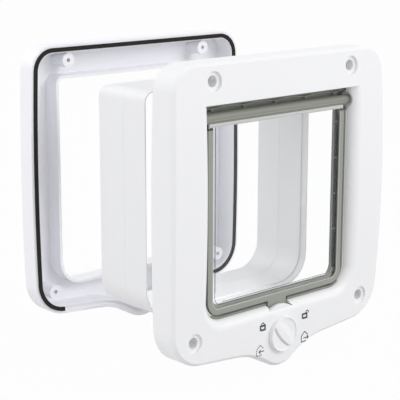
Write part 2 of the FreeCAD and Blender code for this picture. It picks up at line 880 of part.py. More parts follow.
def make_side_lip(label, side):
    """Soft strip in the groove down one side of the seal ring and round its lower corner."""
    body = new_body(label)
    mouth = ring_mouth()
    open_top = of_sheet("flap_leg_top") - mouth.top
    outer = mouth.grown(of_sheet("groove_depth") - of_sheet("pane_fit"), open_top - of_sheet("lip_reach"))
    inner = mouth.grown(-of_sheet("lip_reach"), open_top)
    thick = of_sheet("lip_thickness")
    start = behind_face("groove_setback") + (of_sheet("groove_width") - thick) * 0.5
    pad(body, "strip", start, thick, outer.draw)
    pocket(body, "mouth", start, thick, inner.draw)
    far = outer.half_width
    near = of_sheet("slot_half_width")
    low = -outer.bottom
    high = outer.top
    cut = block(-far, near, low, high) if side > 0 else block(-near, far, low, high)
    pocket(body, "other_side", start, thick, cut)


def make_top_lip():
    """Soft strip along the head of the seal ring, above its posts."""
    body = new_body("draught_lip_top")
    half = of_sheet("flap_half_width") - of_sheet("pane_fit")
    low = ring_mouth().top + of_sheet("top_post_height")
    high = ring_mouth().top + of_sheet("top_groove_height")
    reach = of_sheet("top_lip_reach")
    start = behind_face("ring_top_setback") - reach
    pad(body, "strip", start, reach + of_sheet("top_groove_depth"), block(-half, half, low, high))


def make_hinge_bush(label, start):
    """White bush that holds one end of the hinge pin."""
    body = new_body(label)
    length = of_sheet("bush_end") - of_sheet("bush_start")
    bore = at_hinge(of_sheet("pin_radius") + of_sheet("pin_clearance"))
    outside = at_hinge(of_sheet("bush_radius") - of_sheet("pin_clearance"))
    side_pad(body, "bush", start, length, outside, bore)


def make_hinge_bar():
    """Grey round bar along the flap's top, slotted below for the pane and grooved in front."""
    body = new_body("hinge_bar")
    half = of_sheet("bar_half_length")
    radius = of_sheet("bar_radius")
    side_pad(body, "round", -half, half * 2, at_hinge(radius), at_hinge(of_sheet("pin_radius")))
    middle = behind_face("flap_setback") + of_sheet("flap_thickness") * 0.5
    gape = of_sheet("pane_thickness") * 0.5 + of_sheet("pane_fit")
    low = of_sheet("hinge_height") - radius
    top = of_sheet("pane_top") + of_sheet("pane_fit")
    side_pocket(body, "pane_slot", -half, half * 2, block(middle - gape, middle + gape, low, top))
    turn = math.radians(of_sheet("bar_ridge_angle").number)
    groove = at_hinge(of_sheet("bar_ridge_radius"), radius * math.cos(turn), radius * -math.sin(turn))
    side_pocket(body, "front_groove", -half, half * 2, groove)


def make_hinge_pin():
    """Steel rod through the bar and into both bushes."""
    body = new_body("hinge_pin")
    half = of_sheet("pin_half_length")
    side_pad(body, "rod", -half, half * 2, at_hinge(of_sheet("pin_radius")))


def make_flap_pane():
    """Clear sheet, held by the bar above and by the rim on its other three sides."""
    body = new_body("flap_pane")
    start = behind_face("flap_setback") + (of_sheet("flap_thickness") - of_sheet("pane_thickness")) * 0.5
    form = flap_form().grown(-of_sheet("pane_inset"), of_sheet("pane_top") - of_sheet("flap_leg_top"))
    pad(body, "sheet", start, of_sheet("pane_thickness"), form.draw)


def make_flap_rim():
    """Grey U-shaped rim, grooved inside for the pane, with the lock's tab at its middle."""
    body = new_body("flap_rim")
    start = behind_face("flap_setback")
    thick = of_sheet("flap_thickness")
    fit = of_sheet("pane_fit")
    open_top = of_sheet("flap_rim_width")
    pad(body, "outside", start, thick, flap_form().draw)
    pocket(body, "inside", start, thick, flap_form().grown(-of_sheet("flap_rim_width"), open_top).draw)
    gape = of_sheet("pane_thickness") + fit * 2
    groove = flap_form().grown(fit - of_sheet("pane_inset"), open_top)
    pocket(body, "pane_groove", start + (thick - gape) * 0.5, gape, groove.draw)
    half = of_sheet("tab_half_width")
    pad(body, "tab", start, thick, block(-half, half, -of_sheet("tab_bottom"), -of_sheet("tab_top")))
    depth = of_sheet("magnet_depth")
    pocket(body, "magnet_well", start + thick - depth, depth, flap_magnet_form())


def flap_magnet_form():
    """The flap's magnet seen from the room."""
    half = of_sheet("magnet_half_width")
    return block(-half, half, -of_sheet("magnet_bottom"), -of_sheet("magnet_top"))


def make_flap_magnet():
    """Bar magnet pressed into the back of the tab."""
    body = new_body("flap_magnet")
    depth = of_sheet("magnet_depth")
    start = behind_face("flap_setback") + of_sheet("flap_thickness") - depth
    pad(body, "bar", start, depth, flap_magnet_form())


def square(half):
    """A square loop about the sketch's origin."""
    return block(-half, half, -half, half)


def turned_square(half, angle):
    """A square loop about the sketch's origin, turned anticlockwise by an angle in degrees."""

    def draw(drawing):
        turn = math.radians(angle.number)
        reach = half.number * math.sqrt(2)
        corners = []
        for n in range(4):
            direction = turn + (2 * n - 3) * math.pi / 4
            corners.append((reach * math.cos(direction), reach * math.sin(direction)))
        first = drawing.add([line(corners[n], corners[(n + 1) % 4]) for n in range(4)])
        for n in range(4):
            drawing.fix("Coincident", first + n, 2, first + (n + 1) % 4, 1)
            drawing.size("Distance", (-1, 1, first + n), half)
        for n in range(3):
            drawing.fix("Perpendicular", first + n, first + n + 1)
        drawing.angle(first, angle)

    return draw


def new_lock_body(label):
    """A body for a piece that turns with the dial, drawn about the dial's own centre."""
    body = new_body(label)
    bind(body, "Placement.Base.z", -of_sheet("dial_drop"))
    return body


def make_lock_dial():
    """White knob with a grip across it, and the spindle that carries both stop discs."""
    body = new_lock_body("lock_dial")
    face = -of_sheet("frame_depth")
    rise = of_sheet("knob_rise")
    base = of_sheet("knob_base")
    under = face - of_sheet("knob_gap")
    pad(body, "knob", under - rise, rise, disc(of_sheet("knob_radius")))
    scoop = of_sheet("knob_radius") - of_sheet("knob_border")
    grip = of_sheet("grip_half_width")
    scoops = [segment(scoop, grip, 1), segment(scoop, grip, -1)]
    pocket(body, "scoops", under - rise, rise - base, *scoops)
    hub_end = behind_face("front_disc_setback")
    neck = behind_face("rear_disc_setback")
    end = neck + of_sheet("rear_disc_thickness")
    pad(body, "hub", under, hub_end - under, disc(of_sheet("hub_radius")))
    pad(body, "spindle", hub_end, neck - hub_end, square(of_sheet("spindle_half")))
    pad(body, "neck", neck, end - neck, square(of_sheet("spindle_neck_half")))
    pilot = of_sheet("dial_pilot_depth")
    pocket(body, "pilot", end - pilot, pilot, disc(of_sheet("dial_pilot_radius")))
    body.Placement.Rotation = FreeCAD.Rotation(FreeCAD.Vector(0, 1, 0), of_sheet("grip_angle").number)
    bind(body, "Placement.Rotation.Angle", of_sheet("grip_angle"))


def make_stop_disc(label, start, thick, bore_half, flats):
    """Round disc keyed to the square spindle, with a flat cut wherever the tab may pass."""
    body = new_lock_body(label)
    radius = of_sheet("disc_radius")
    flat = of_sheet("disc_flat")
    pad(body, "disc", start, thick, disc(radius))
    bore = turned_square(bore_half + of_sheet("pilot_clearance"), -of_sheet("grip_angle"))
    pocket(body, "bore", start, thick, bore)
    forms = {
        "right": block(flat, radius, -radius, radius),
        "left": block(-radius, -flat, -radius, radius),
        "top": block(-radius, radius, flat, radius),
    }
    for name in flats:
        pocket(body, f"{name}_flat", start, thick, forms[name])


def make_dial_washer():
    """Steel washer behind the rear stop disc."""
    body = new_lock_body("dial_washer")
    start = behind_face("rear_disc_setback") + of_sheet("rear_disc_thickness")
    hole = of_sheet("dial_pilot_radius") + of_sheet("pilot_clearance")
    pad(body, "washer", start, of_sheet("washer_thickness"), disc(of_sheet("washer_radius")), disc(hole))


def make_dial_screw():
    """Screw that holds the washer and discs on the spindle."""
    body = new_lock_body("dial_screw")
    seat = behind_face("rear_disc_setback") + of_sheet("rear_disc_thickness") + of_sheet("washer_thickness")
    length = of_sheet("dial_pilot_depth")
    shank = of_sheet("dial_pilot_radius") - of_sheet("pilot_clearance")
    pad(body, "shank", seat - length, length, disc(shank))
    pad(body, "head", seat, of_sheet("dial_screw_head_height"), disc(of_sheet("dial_screw_head")))


def make_mechanism_cover():
    """Plate that closes the back of the lock, shaped like the lobe it lies in."""
    body = new_body("mechanism_cover")
    start = behind_face("cover_setback")
    thick = of_sheet("cover_thickness")
    top = of_sheet("cover_top")
    half = of_sheet("cover_half_width")
    wide = of_sheet("frame_half_width")
    deep = of_sheet("dial_drop") + of_sheet("lobe_radius")
    pad(body, "plate", start, thick, frame_outline(of_sheet("cover_edge_gap")))
    pocket(body, "upper_trim", start, thick, block(-wide, wide, -top, of_sheet("frame_top")))
    right_trim = block(half, wide, -deep, -top)
    left_trim = block(-wide, -half, -deep, -top)
    pocket(body, "side_trims", start, thick, right_trim, left_trim)


def make_tunnel_ring(label, start):
    """One ring of the tunnel, with a socket at its room end and a spigot at its outdoor end."""
    body = new_body(label)
    pitch = of_sheet("tunnel_pitch")
    spigot = of_sheet("tunnel_spigot")
    bore = tunnel_bore()
    pad(body, "ring", start, pitch, bore.grown(of_sheet("tunnel_wall")).draw, bore.draw)
    pad(body, "spigot", start + pitch, spigot, bore.grown(of_sheet("spigot_wall")).draw, bore.draw)
    socket = spigot + of_sheet("spigot_end_gap")
    pocket(body, "socket", start, socket, bore.grown(of_sheet("socket_cut")).draw)


def make_outer_frame():
    """White shell, open towards the door: rounded outside, deep trough, collar and screw bosses."""
    body = new_body("outer_frame")
    start = of_sheet("outer_start")
    depth = of_sheet("outer_depth")
    plate = of_sheet("outer_plate")
    back = start + depth
    collar = outer_opening().grown(of_sheet("collar_wall"))
    rim = of_sheet("outer_rim_width")
    pad(body, "outer_form", start, depth, frame_outline())
    outdoor_edges = edges_on_plane(body.Tip.Shape, back, every_edge)
    soften(body, "Chamfer", "outdoor_edge", of_sheet("outer_edge_cut"), outdoor_edges)
    pocket(body, "trough", start, depth - plate, frame_outline(rim), collar.draw)

    pocket(body, "collar_end", start, of_sheet("outer_collar_gap"), collar.draw)
    pocket(body, "opening", start, depth, outer_opening().draw)

    def inside_collar(ends):
        """Edges round the opening on the outdoor face."""
        wide = collar.half_width.number
        deep = collar.bottom.number
        return all(abs(end.x) < wide and abs(end.z) < deep for end in ends)

    opening_edges = edges_on_plane(body.Tip.Shape, back, inside_collar)
    soften(body, "Chamfer", "opening_edge", of_sheet("outer_opening_cut"), opening_edges)
    boss_start = start + of_sheet("outer_boss_gap")
    boss_length = depth - of_sheet("outer_boss_gap") - plate
    pad(body, "screw_bosses", boss_start, boss_length, *at_screws(of_sheet("pilot_boss_radius")))
    pocket(body, "screw_pilots", boss_start, of_sheet("pilot_depth"), *at_screws(of_sheet("pilot_radius")))
    middle = of_sheet("seal_inset")
    half = of_sheet("seal_half_width")
    groove = [frame_outline(middle - half), frame_outline(middle + half)]
    pocket(body, "seal_groove", start, of_sheet("seal_groove_depth"), *groove)


def make_outer_seal():
    """Black foam cord in the outer frame's rim, open along the bottom."""
    body = new_body("outer_frame_seal")
    middle = of_sheet("seal_inset")
    half = of_sheet("seal_half_width") - of_sheet("pane_fit")
    proud = of_sheet("seal_proud")
    start = of_sheet("outer_start") - proud
    loops = [frame_outline(middle - half), frame_outline(middle + half)]
    length = proud + of_sheet("seal_groove_depth")
    pad(body, "cord", start, length, *loops)
    gap = of_sheet("seal_gap_half_width")
    low = -of_sheet("dial_drop") - of_sheet("lobe_radius")
    pocket(body, "bottom_gap", start, length, block(-gap, gap, low, -of_sheet("screw_rise")))


def check_document():
    """Stop if any object has failed or any piece isn't one sound solid."""
    doc.recompute()
    for item in doc.Objects:
        if "Invalid" in item.State or "Error" in item.State:
            raise RuntimeError(f"{item.Label} has failed")
    for piece in pieces:
        shape = piece.Shape
        if shape.isNull() or not shape.isValid():
            raise RuntimeError(f"{piece.Label} isn't sound")
        print(f"{piece.Label}: {len(shape.Solids)} solid, {shape.Volume / 1000:.2f} cm3")


def export_pieces():
    """Write one file for each piece."""
    os.makedirs("parts", exist_ok=True)
    for piece in pieces:
        piece.Shape.exportStep(f"parts/{piece.Label}.step")


def main():
    """Build every piece, check it and write it."""
    fill_sheet()
    make_inner_frame()
    make_seal_ring()
    make_top_lip()
    make_side_lip("draught_lip_right", 1)
    make_side_lip("draught_lip_left", -1)
    make_hinge_bush("hinge_bush_right", of_sheet("bush_start"))
    make_hinge_bush("hinge_bush_left", -of_sheet("bush_end"))
    make_sill_magnet()
    make_mechanism_cover()
    make_hinge_bar()
    make_hinge_pin()
    make_flap_pane()
    make_flap_rim()
    make_flap_magnet()
    make_lock_dial()
    front = behind_face("front_disc_setback")
    rear = behind_face("rear_disc_setback")
    front_thick = of_sheet("front_disc_thickness")
    rear_thick = of_sheet("rear_disc_thickness")
    make_stop_disc("front_lock_disc", front, front_thick, of_sheet("spindle_half"), ("right", "left"))
    make_stop_disc("rear_lock_disc", rear, rear_thick, of_sheet("spindle_neck_half"), ("top", "right"))
    make_dial_washer()
    make_dial_screw()
    make_tunnel_ring("tunnel_front_ring", of_sheet("tunnel_start"))
    make_tunnel_ring("tunnel_rear_ring", of_sheet("tunnel_start") + of_sheet("tunnel_pitch"))
    make_outer_frame()
    make_outer_seal()
    check_document()
    export_pieces()


main()
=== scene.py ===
"""Looks of a cat flap kit: finishes, printed signs, soft lips, foam seal, knob, camera, studio."""

import logging
import math
from abc import ABC, abstractmethod
from dataclasses import dataclass, field
from enum import Enum
from typing import Mapping, Sequence, Union

import bmesh
import bpy
from mathutils import Matrix, Vector


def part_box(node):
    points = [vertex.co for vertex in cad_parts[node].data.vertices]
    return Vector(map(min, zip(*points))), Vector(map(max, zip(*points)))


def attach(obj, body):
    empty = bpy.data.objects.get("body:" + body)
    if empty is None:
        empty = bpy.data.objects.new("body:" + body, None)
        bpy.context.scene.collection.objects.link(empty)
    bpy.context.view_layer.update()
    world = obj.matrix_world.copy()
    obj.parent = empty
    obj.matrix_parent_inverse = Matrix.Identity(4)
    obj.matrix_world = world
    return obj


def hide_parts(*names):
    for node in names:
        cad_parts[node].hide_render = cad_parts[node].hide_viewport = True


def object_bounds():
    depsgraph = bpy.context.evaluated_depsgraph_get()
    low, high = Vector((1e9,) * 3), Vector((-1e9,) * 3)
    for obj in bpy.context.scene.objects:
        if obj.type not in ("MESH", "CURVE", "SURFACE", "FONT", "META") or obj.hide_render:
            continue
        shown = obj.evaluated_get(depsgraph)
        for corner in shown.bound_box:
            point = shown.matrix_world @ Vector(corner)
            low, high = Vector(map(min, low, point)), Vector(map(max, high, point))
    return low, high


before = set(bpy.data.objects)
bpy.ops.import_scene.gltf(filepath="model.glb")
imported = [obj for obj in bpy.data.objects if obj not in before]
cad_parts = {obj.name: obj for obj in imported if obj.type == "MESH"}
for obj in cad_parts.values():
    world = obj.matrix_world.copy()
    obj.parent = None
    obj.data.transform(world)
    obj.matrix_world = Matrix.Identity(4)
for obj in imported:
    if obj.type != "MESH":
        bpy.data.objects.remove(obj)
CAD_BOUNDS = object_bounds()

logging.basicConfig(level=logging.INFO, format="%(message)s")
LOG = logging.getLogger("cat_flap")

MM = 0.001
"""One millimetre in the scene's metres."""

WELD_DISTANCE = 0.001 * MM
"""Corners of a node nearer than this become one."""

FLAT_LIMIT = 0.5
"""Faces of a node that turn by less than this many degrees become one polygon."""

EDGE_SEGMENTS = 2
"""Steps across a node's rounded edge."""

LEAST_MITRE = 0.4
"""A band's corners run out by half its width over this at most."""

Colour = tuple[float, float, float]
Place = tuple[float, float, float]
Point = tuple[float, float]
Stroke = tuple[list[Point], float]
Feed = Union[float, bpy.types.NodeSocket]


class Body(Enum):
    ROOM_SIDE = "room_side"
    FLAP = "flap"
    LOCK = "lock"


class Slot(Enum):
    """The record's material slots. No piece here takes its finish from them."""

    WHITE = "white_plastic"
    GREY = "grey_plastic"
    GREY_LIP = "grey_lip"
    CLEAR = "clear_sheet"


def to_linear(level: float) -> float:
    """Turn a display level between 0 and 1 into scene light, with the sRGB curve's own numbers.

    Args:
        level: the level as a picture shows it.

    Returns:
        The linear value that shows as that level.
    """
    if level <= 0.04045:
        return level / 12.92
    return ((level + 0.055) / 1.055) ** 2.4


def display(red: int, green: int, blue: int) -> Colour:
    """A colour given in display levels from 0 to 255, as linear values."""
    return to_linear(red / 255), to_linear(green / 255), to_linear(blue / 255)


def feed(tree: bpy.types.NodeTree, source: Feed, target: bpy.types.NodeSocket) -> None:
    """Link a socket to an input, or set the input to a number.

    Args:
        tree: the tree that both are in.
        source: the socket or the number.
        target: the input.
    """
    if isinstance(source, bpy.types.NodeSocket):
        tree.links.new(source, target)
    else:
        target.default_value = source


def compute(tree: bpy.types.NodeTree, operation: str, *feeds: Feed) -> bpy.types.NodeSocket:
    """Add one step of arithmetic.

    Args:
        tree: the tree that it joins.
        operation: the step, as Blender's Math node names it.
        feeds: a socket or a number for each input, in order.

    Returns:
        The socket with its result.
    """
    node = tree.nodes.new("ShaderNodeMath")
    node.operation = operation
    for target, source in zip(node.inputs, feeds):
        feed(tree, source, target)
    return node.outputs[0]


def noise(tree: bpy.types.NodeTree, scale: Feed, detail: float = 2.0) -> bpy.types.NodeSocket:
    """Add cloudy noise that stays with the object.

    Args:
        tree: the tree that it joins.
        scale: how fine it is.
        detail: how many finer layers it has.

    Returns:
        The socket with its value.
    """
    clouds = tree.nodes.new("ShaderNodeTexNoise")
    place = tree.nodes.new("ShaderNodeTexCoord")
    tree.links.new(place.outputs["Object"], clouds.inputs["Vector"])
    feed(tree, scale, clouds.inputs["Scale"])
    clouds.inputs["Detail"].default_value = detail
    return clouds.outputs["Fac"]


class MouldedSurface:
    """Shader node group for moulded surfaces: mottled tone, uneven gloss and fine grain."""

    NAME = "moulded_surface"
    INPUTS = {
        "Mottle": 0.03,
        "Mottle Scale": 12.0,
        "Roughness": 0.4,
        "Gloss Spread": 0.08,
        "Grain Scale": 900.0,
        "Grain Height": 0.02,
    }
    MOTTLE_DETAIL = 3.0
    MIDDLE = 0.5

    @classmethod
    def group(cls) -> bpy.types.NodeTree:
        """The node group, made on its first use.

        Returns:
            The shader node tree that every moulded finish places.
        """
        found = bpy.data.node_groups.get(cls.NAME)
        if found is not None:
            return found
        tree = bpy.data.node_groups.new(cls.NAME, "ShaderNodeTree")
        panel = tree.interface
        panel.new_socket("Colour", in_out="INPUT", socket_type="NodeSocketColor")
        for name, default in cls.INPUTS.items():
            made = panel.new_socket(name, in_out="INPUT", socket_type="NodeSocketFloat")
            made.default_value = default
        panel.new_socket("Colour", in_out="OUTPUT", socket_type="NodeSocketColor")
        panel.new_socket("Roughness", in_out="OUTPUT", socket_type="NodeSocketFloat")
        panel.new_socket("Grain", in_out="OUTPUT", socket_type="NodeSocketFloat")

        given = tree.nodes.new("NodeGroupInput").outputs
        result = tree.nodes.new("NodeGroupOutput").inputs
        clouds = noise(tree, given["Mottle Scale"], cls.MOTTLE_DETAIL)
        centred = compute(tree, "SUBTRACT", clouds, cls.MIDDLE)
        tone = tree.nodes.new("ShaderNodeVectorMath")
        tone.operation = "SCALE"
        feed(tree, given["Colour"], tone.inputs[0])
        lift = compute(tree, "MULTIPLY_ADD", centred, given["Mottle"], 1.0)
        feed(tree, lift, tone.inputs["Scale"])
        feed(tree, tone.outputs[0], result["Colour"])
        gloss = compute(
            tree, "MULTIPLY_ADD", centred, given["Gloss Spread"], given["Roughness"],
        )
        feed(tree, gloss, result["Roughness"])
        grain = noise(tree, given["Grain Scale"])
        height = compute(tree, "MULTIPLY", grain, given["Grain Height"])
        feed(tree, height, result["Grain"])
        return tree

    @classmethod
    def place(
        cls, tree: bpy.types.NodeTree, shader: bpy.types.Node, colour: Colour,
        values: Mapping[str, float],
    ) -> bpy.types.NodeSocket:
        """Place the group in a material, with its own values, and feed the shader from it.

        Args:
            tree: the material's nodes.
            shader: the shader that takes the colour and the roughness.
            colour: the plain colour.
            values: the other inputs by name.

        Returns:
            The socket with the grain's height.
        """
        surface = tree.nodes.new("ShaderNodeGroup")
        surface.node_tree = cls.group()
        surface.inputs["Colour"].default_value = (*colour, 1.0)
        for name, value in values.items():
            surface.inputs[name].default_value = value
        feed(tree, surface.outputs["Colour"], shader.inputs["Base Color"])
        feed(tree, surface.outputs["Roughness"], shader.inputs["Roughness"])
        return surface.outputs["Grain"]


@dataclass(frozen=True)
class Finish(ABC):
    """A finish by its name, whose material is made on its first use."""

    name: str

    @property
    def label(self) -> str:
        """The material's own name, apart from the frame's plain ones."""
        return f"{self.name}_finish"

    def material(self) -> bpy.types.Material:
        """The finish as a material.

        Returns:
            The material, made on its first use.
        """
        found = bpy.data.materials.get(self.label)
        if found is not None:
            return found
        made = bpy.data.materials.new(self.label)
        made.use_nodes = True
        self.shade(made.node_tree, made.node_tree.nodes["Principled BSDF"])
        return made

    @abstractmethod
    def shade(self, tree: bpy.types.NodeTree, shader: bpy.types.Node) -> None:
        """Set the shader and add the nodes that feed it.

        Args:
            tree: the new material's nodes.
            shader: its Principled BSDF.
        """


@dataclass(frozen=True)
class Moulded(Finish):
    """A moulded plastic, rubber, foam or ink finish."""

    colour: Colour
    roughness: float
    mottle: float = 0.03
    mottle_scale: float = 12.0
    gloss_spread: float = 0.08
    grain_scale: float = 900.0
    grain_height: float = 0.02
    specular: float = 0.5

    def shade(self, tree: bpy.types.NodeTree, shader: bpy.types.Node) -> None:
        """Feed the shader a mottled colour, an uneven gloss and a fine grain.

        Args:
            tree: the new material's nodes.
            shader: its Principled BSDF.
        """
        grain = MouldedSurface.place(tree, shader, self.colour, {
            "Mottle": self.mottle,
            "Mottle Scale": self.mottle_scale,
            "Roughness": self.roughness,
            "Gloss Spread": self.gloss_spread,
            "Grain Scale": self.grain_scale,
            "Grain Height": self.grain_height,
        })
        relief = tree.nodes.new("ShaderNodeBump")
        relief.inputs["Distance"].default_value = MM
        feed(tree, grain, relief.inputs["Height"])
        feed(tree, relief.outputs["Normal"], shader.inputs["Normal"])
        shader.inputs["Specular IOR Level"].default_value = self.specular


@dataclass(frozen=True)
class Metal(Finish):
    """A plated metal finish."""

    colour: Colour
    roughness: float
    mottle: float = 0.1
    mottle_scale: float = 300.0
    gloss_spread: float = 0.2

    def shade(self, tree: bpy.types.NodeTree, shader: bpy.types.Node) -> None:
        """Feed the shader a finely mottled metal.

        Args:
            tree: the new material's nodes.
            shader: its Principled BSDF.
        """
        MouldedSurface.place(tree, shader, self.colour, {
            "Mottle": self.mottle,
            "Mottle Scale": self.mottle_scale,
            "Roughness": self.roughness,
            "Gloss Spread": self.gloss_spread,
        })
        shader.inputs["Metallic"].default_value = 1.0


@dataclass(frozen=True)
class ClearSheet(Finish):
    """Clear moulded sheet that lets the lamps' light through to what is behind it."""

    tint: Colour
    roughness: float
    haze: float
    refraction: float = 1.3
    smear_scale: float = 25.0

    def shade(self, tree: bpy.types.NodeTree, shader: bpy.types.Node) -> None:
        """Make the shader a faintly smeared glass that casts no shadow.

        Args:
            tree: the new material's nodes.
            shader: its Principled BSDF.
        """
        shader.inputs["Base Color"].default_value = (*self.tint, 1.0)
        shader.inputs["Transmission Weight"].default_value = 1.0
        shader.inputs["IOR"].default_value = self.refraction
        smears = noise(tree, self.smear_scale)
        gloss = compute(tree, "MULTIPLY_ADD", smears, self.haze, self.roughness)
        feed(tree, gloss, shader.inputs["Roughness"])
        clear = tree.nodes.new("ShaderNodeBsdfTransparent")
        clear.inputs["Color"].default_value = (*self.tint, 1.0)
        path = tree.nodes.new("ShaderNodeLightPath")
        mix = tree.nodes.new("ShaderNodeMixShader")
        feed(tree, path.outputs["Is Shadow Ray"], mix.inputs[0])
        feed(tree, shader.outputs[0], mix.inputs[1])
        feed(tree, clear.outputs[0], mix.inputs[2])
        feed(tree, mix.outputs[0], tree.nodes["Material Output"].inputs["Surface"])


@dataclass(frozen=True)
class SheetLine(Finish):
    """A line painted on the clear sheet, half seen through: painted shade where it is dark, painted
    highlight where it is pale.
    """

    colour: Colour
    strength: float
    spread: float
    roughness: float = 0.2
    patch_scale: float = 60.0

    def shade(self, tree: bpy.types.NodeTree, shader: bpy.types.Node) -> None:
        """Give the shader a colour that covers unevenly.

        Args:
            tree: the new material's nodes.
            shader: its Principled BSDF.
        """
        shader.inputs["Base Color"].default_value = (*self.colour, 1.0)
        shader.inputs["Roughness"].default_value = self.roughness
        patches = noise(tree, self.patch_scale)
        cover = compute(tree, "MULTIPLY_ADD", patches, self.spread, self.strength)
        feed(tree, cover, shader.inputs["Alpha"])


class Finishes:
    WHITE = Moulded(
        "white_plastic", display(246, 246, 247), 0.36, mottle=0.012, grain_height=0.015,
    )
    COOL_WHITE = Moulded(
        "cool_white_plastic", display(251, 251, 255), 0.34, mottle=0.012, grain_height=0.015,
    )
    GREY = Moulded(
        "grey_plastic", display(136, 138, 129), 0.42, mottle=0.06, mottle_scale=40.0,
    )
    PALE_GREY = Moulded(
        "pale_grey_plastic", display(152, 154, 146), 0.34, mottle=0.06, mottle_scale=40.0,
    )
    # Painted highlight: this pale grey stands for light on the seal ring's nose and on the rim's
    # inner edge, and lightens the clamp in the bar's shadow.
    HIGHLIGHT_GREY = Moulded(
        "painted_highlight_grey", display(206, 207, 203), 0.3, mottle=0.05, mottle_scale=60.0,
    )
    GREY_LIP = Moulded(
        "grey_lip", display(168, 170, 161), 0.6, mottle=0.08, mottle_scale=60.0,
    )
    # Painted shade: the dark grey at the pane's sides and the lighter grey at its foot stand for
    # the shade behind the pane's edge.
    SEAT_SHADE = Moulded(
        "seat_shade_dark", display(78, 80, 79), 0.7, mottle=0.2, mottle_scale=90.0,
        specular=0.3,
    )
    FOOT_SEAT_SHADE = Moulded(
        "seat_shade_grey", display(156, 158, 153), 0.7, mottle=0.15, mottle_scale=90.0,
    )
    FOAM = Moulded(
        "foam_seal", display(41, 39, 36), 0.85, mottle=0.4, mottle_scale=500.0,
        grain_scale=2600.0, grain_height=0.25, specular=0.25,
    )
    INK = Moulded(
        "printed_ink", display(70, 72, 76), 0.5, mottle=0.15, mottle_scale=400.0,
        grain_height=0.01,
    )
    PANE = ClearSheet("clear_sheet", (0.995, 0.997, 1.0), 0.0, 0.01)
    # Painted shade: dark half-clear lines where the clear pane's moulded steps show dark.
    PANE_LINE_SHADE = SheetLine("pane_line_shade", display(78, 82, 86), 0.5, 0.3)
    # Painted highlight: a pale half-clear band for the light on the pane's head under the bar.
    PANE_HEAD_HIGHLIGHT = SheetLine("pane_head_highlight", display(206, 208, 207), 0.7, 0.2)
    STEEL = Metal("zinc_steel", (0.62, 0.62, 0.61), 0.3)
    MAGNET = Metal("nickel_magnet", (0.55, 0.55, 0.57), 0.25)


def dress_node(
    name: str, finish: Finish, angle: float = 30.0, soften: float = 0.0, flatten: bool = True,
) -> bpy.types.Object:
    """Give a carried-over node its finish, smooth shading and softened edges.

    Args:
        name: the node.
        finish: the finish whose material it takes.
        angle: edges sharper than this many degrees are softened.
        soften: width in millimetres of the rounding on those edges, or 0 for none.
        flatten: whether each flat face may become one polygon. A face with a hole may not.

    Returns:
        The node's object.
    """
    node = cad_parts[name]
    mesh = node.data
    mesh.materials.clear()
    mesh.materials.append(finish.material())
    if "custom_normal" in mesh.attributes:
        mesh.attributes.remove(mesh.attributes["custom_normal"])
    mesh.shade_smooth()
    weld = node.modifiers.new("weld", "WELD")
    weld.merge_threshold = WELD_DISTANCE
    if flatten:
        flat = node.modifiers.new("flat_faces", "DECIMATE")
        flat.decimate_type = "DISSOLVE"
        flat.angle_limit = math.radians(FLAT_LIMIT)
    if soften > 0:
        edge = node.modifiers.new("soft_edges", "BEVEL")
        edge.width = soften * MM
        edge.segments = EDGE_SEGMENTS
        edge.limit_method = "ANGLE"
        edge.angle_limit = math.radians(angle)
        edge.harden_normals = True
        edge.miter_outer = "MITER_ARC"
    normals = node.modifiers.new("even_normals", "WEIGHTED_NORMAL")
    normals.keep_sharp = True
    LOG.info("dressed %s in %s", name, finish.label)
    return node


def add_piece(
    name: str, mesh: bpy.types.Mesh, body: Body, finish: Finish,
) -> bpy.types.Object:
    """Put a finished mesh in the scene as a piece that rides on a body.

    Args:
        name: the piece's name.
        mesh: its mesh, in metres and in the frame's place.
        body: the body that carries it.
        finish: the finish that it takes.

    Returns:
        The piece's object.
    """
    piece = bpy.data.objects.new(name, mesh)
    bpy.context.scene.collection.objects.link(piece)
    mesh.materials.append(finish.material())
    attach(piece, body.value)
    LOG.info("made %s with %d faces, on %s", name, len(mesh.polygons), body.value)
    return piece


def corners_of(node: str) -> tuple[Vector, Vector]:
    """A node's lowest and highest corner at rest, in millimetres."""
    low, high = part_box(node)
    return Vector(low) / MM, Vector(high) / MM


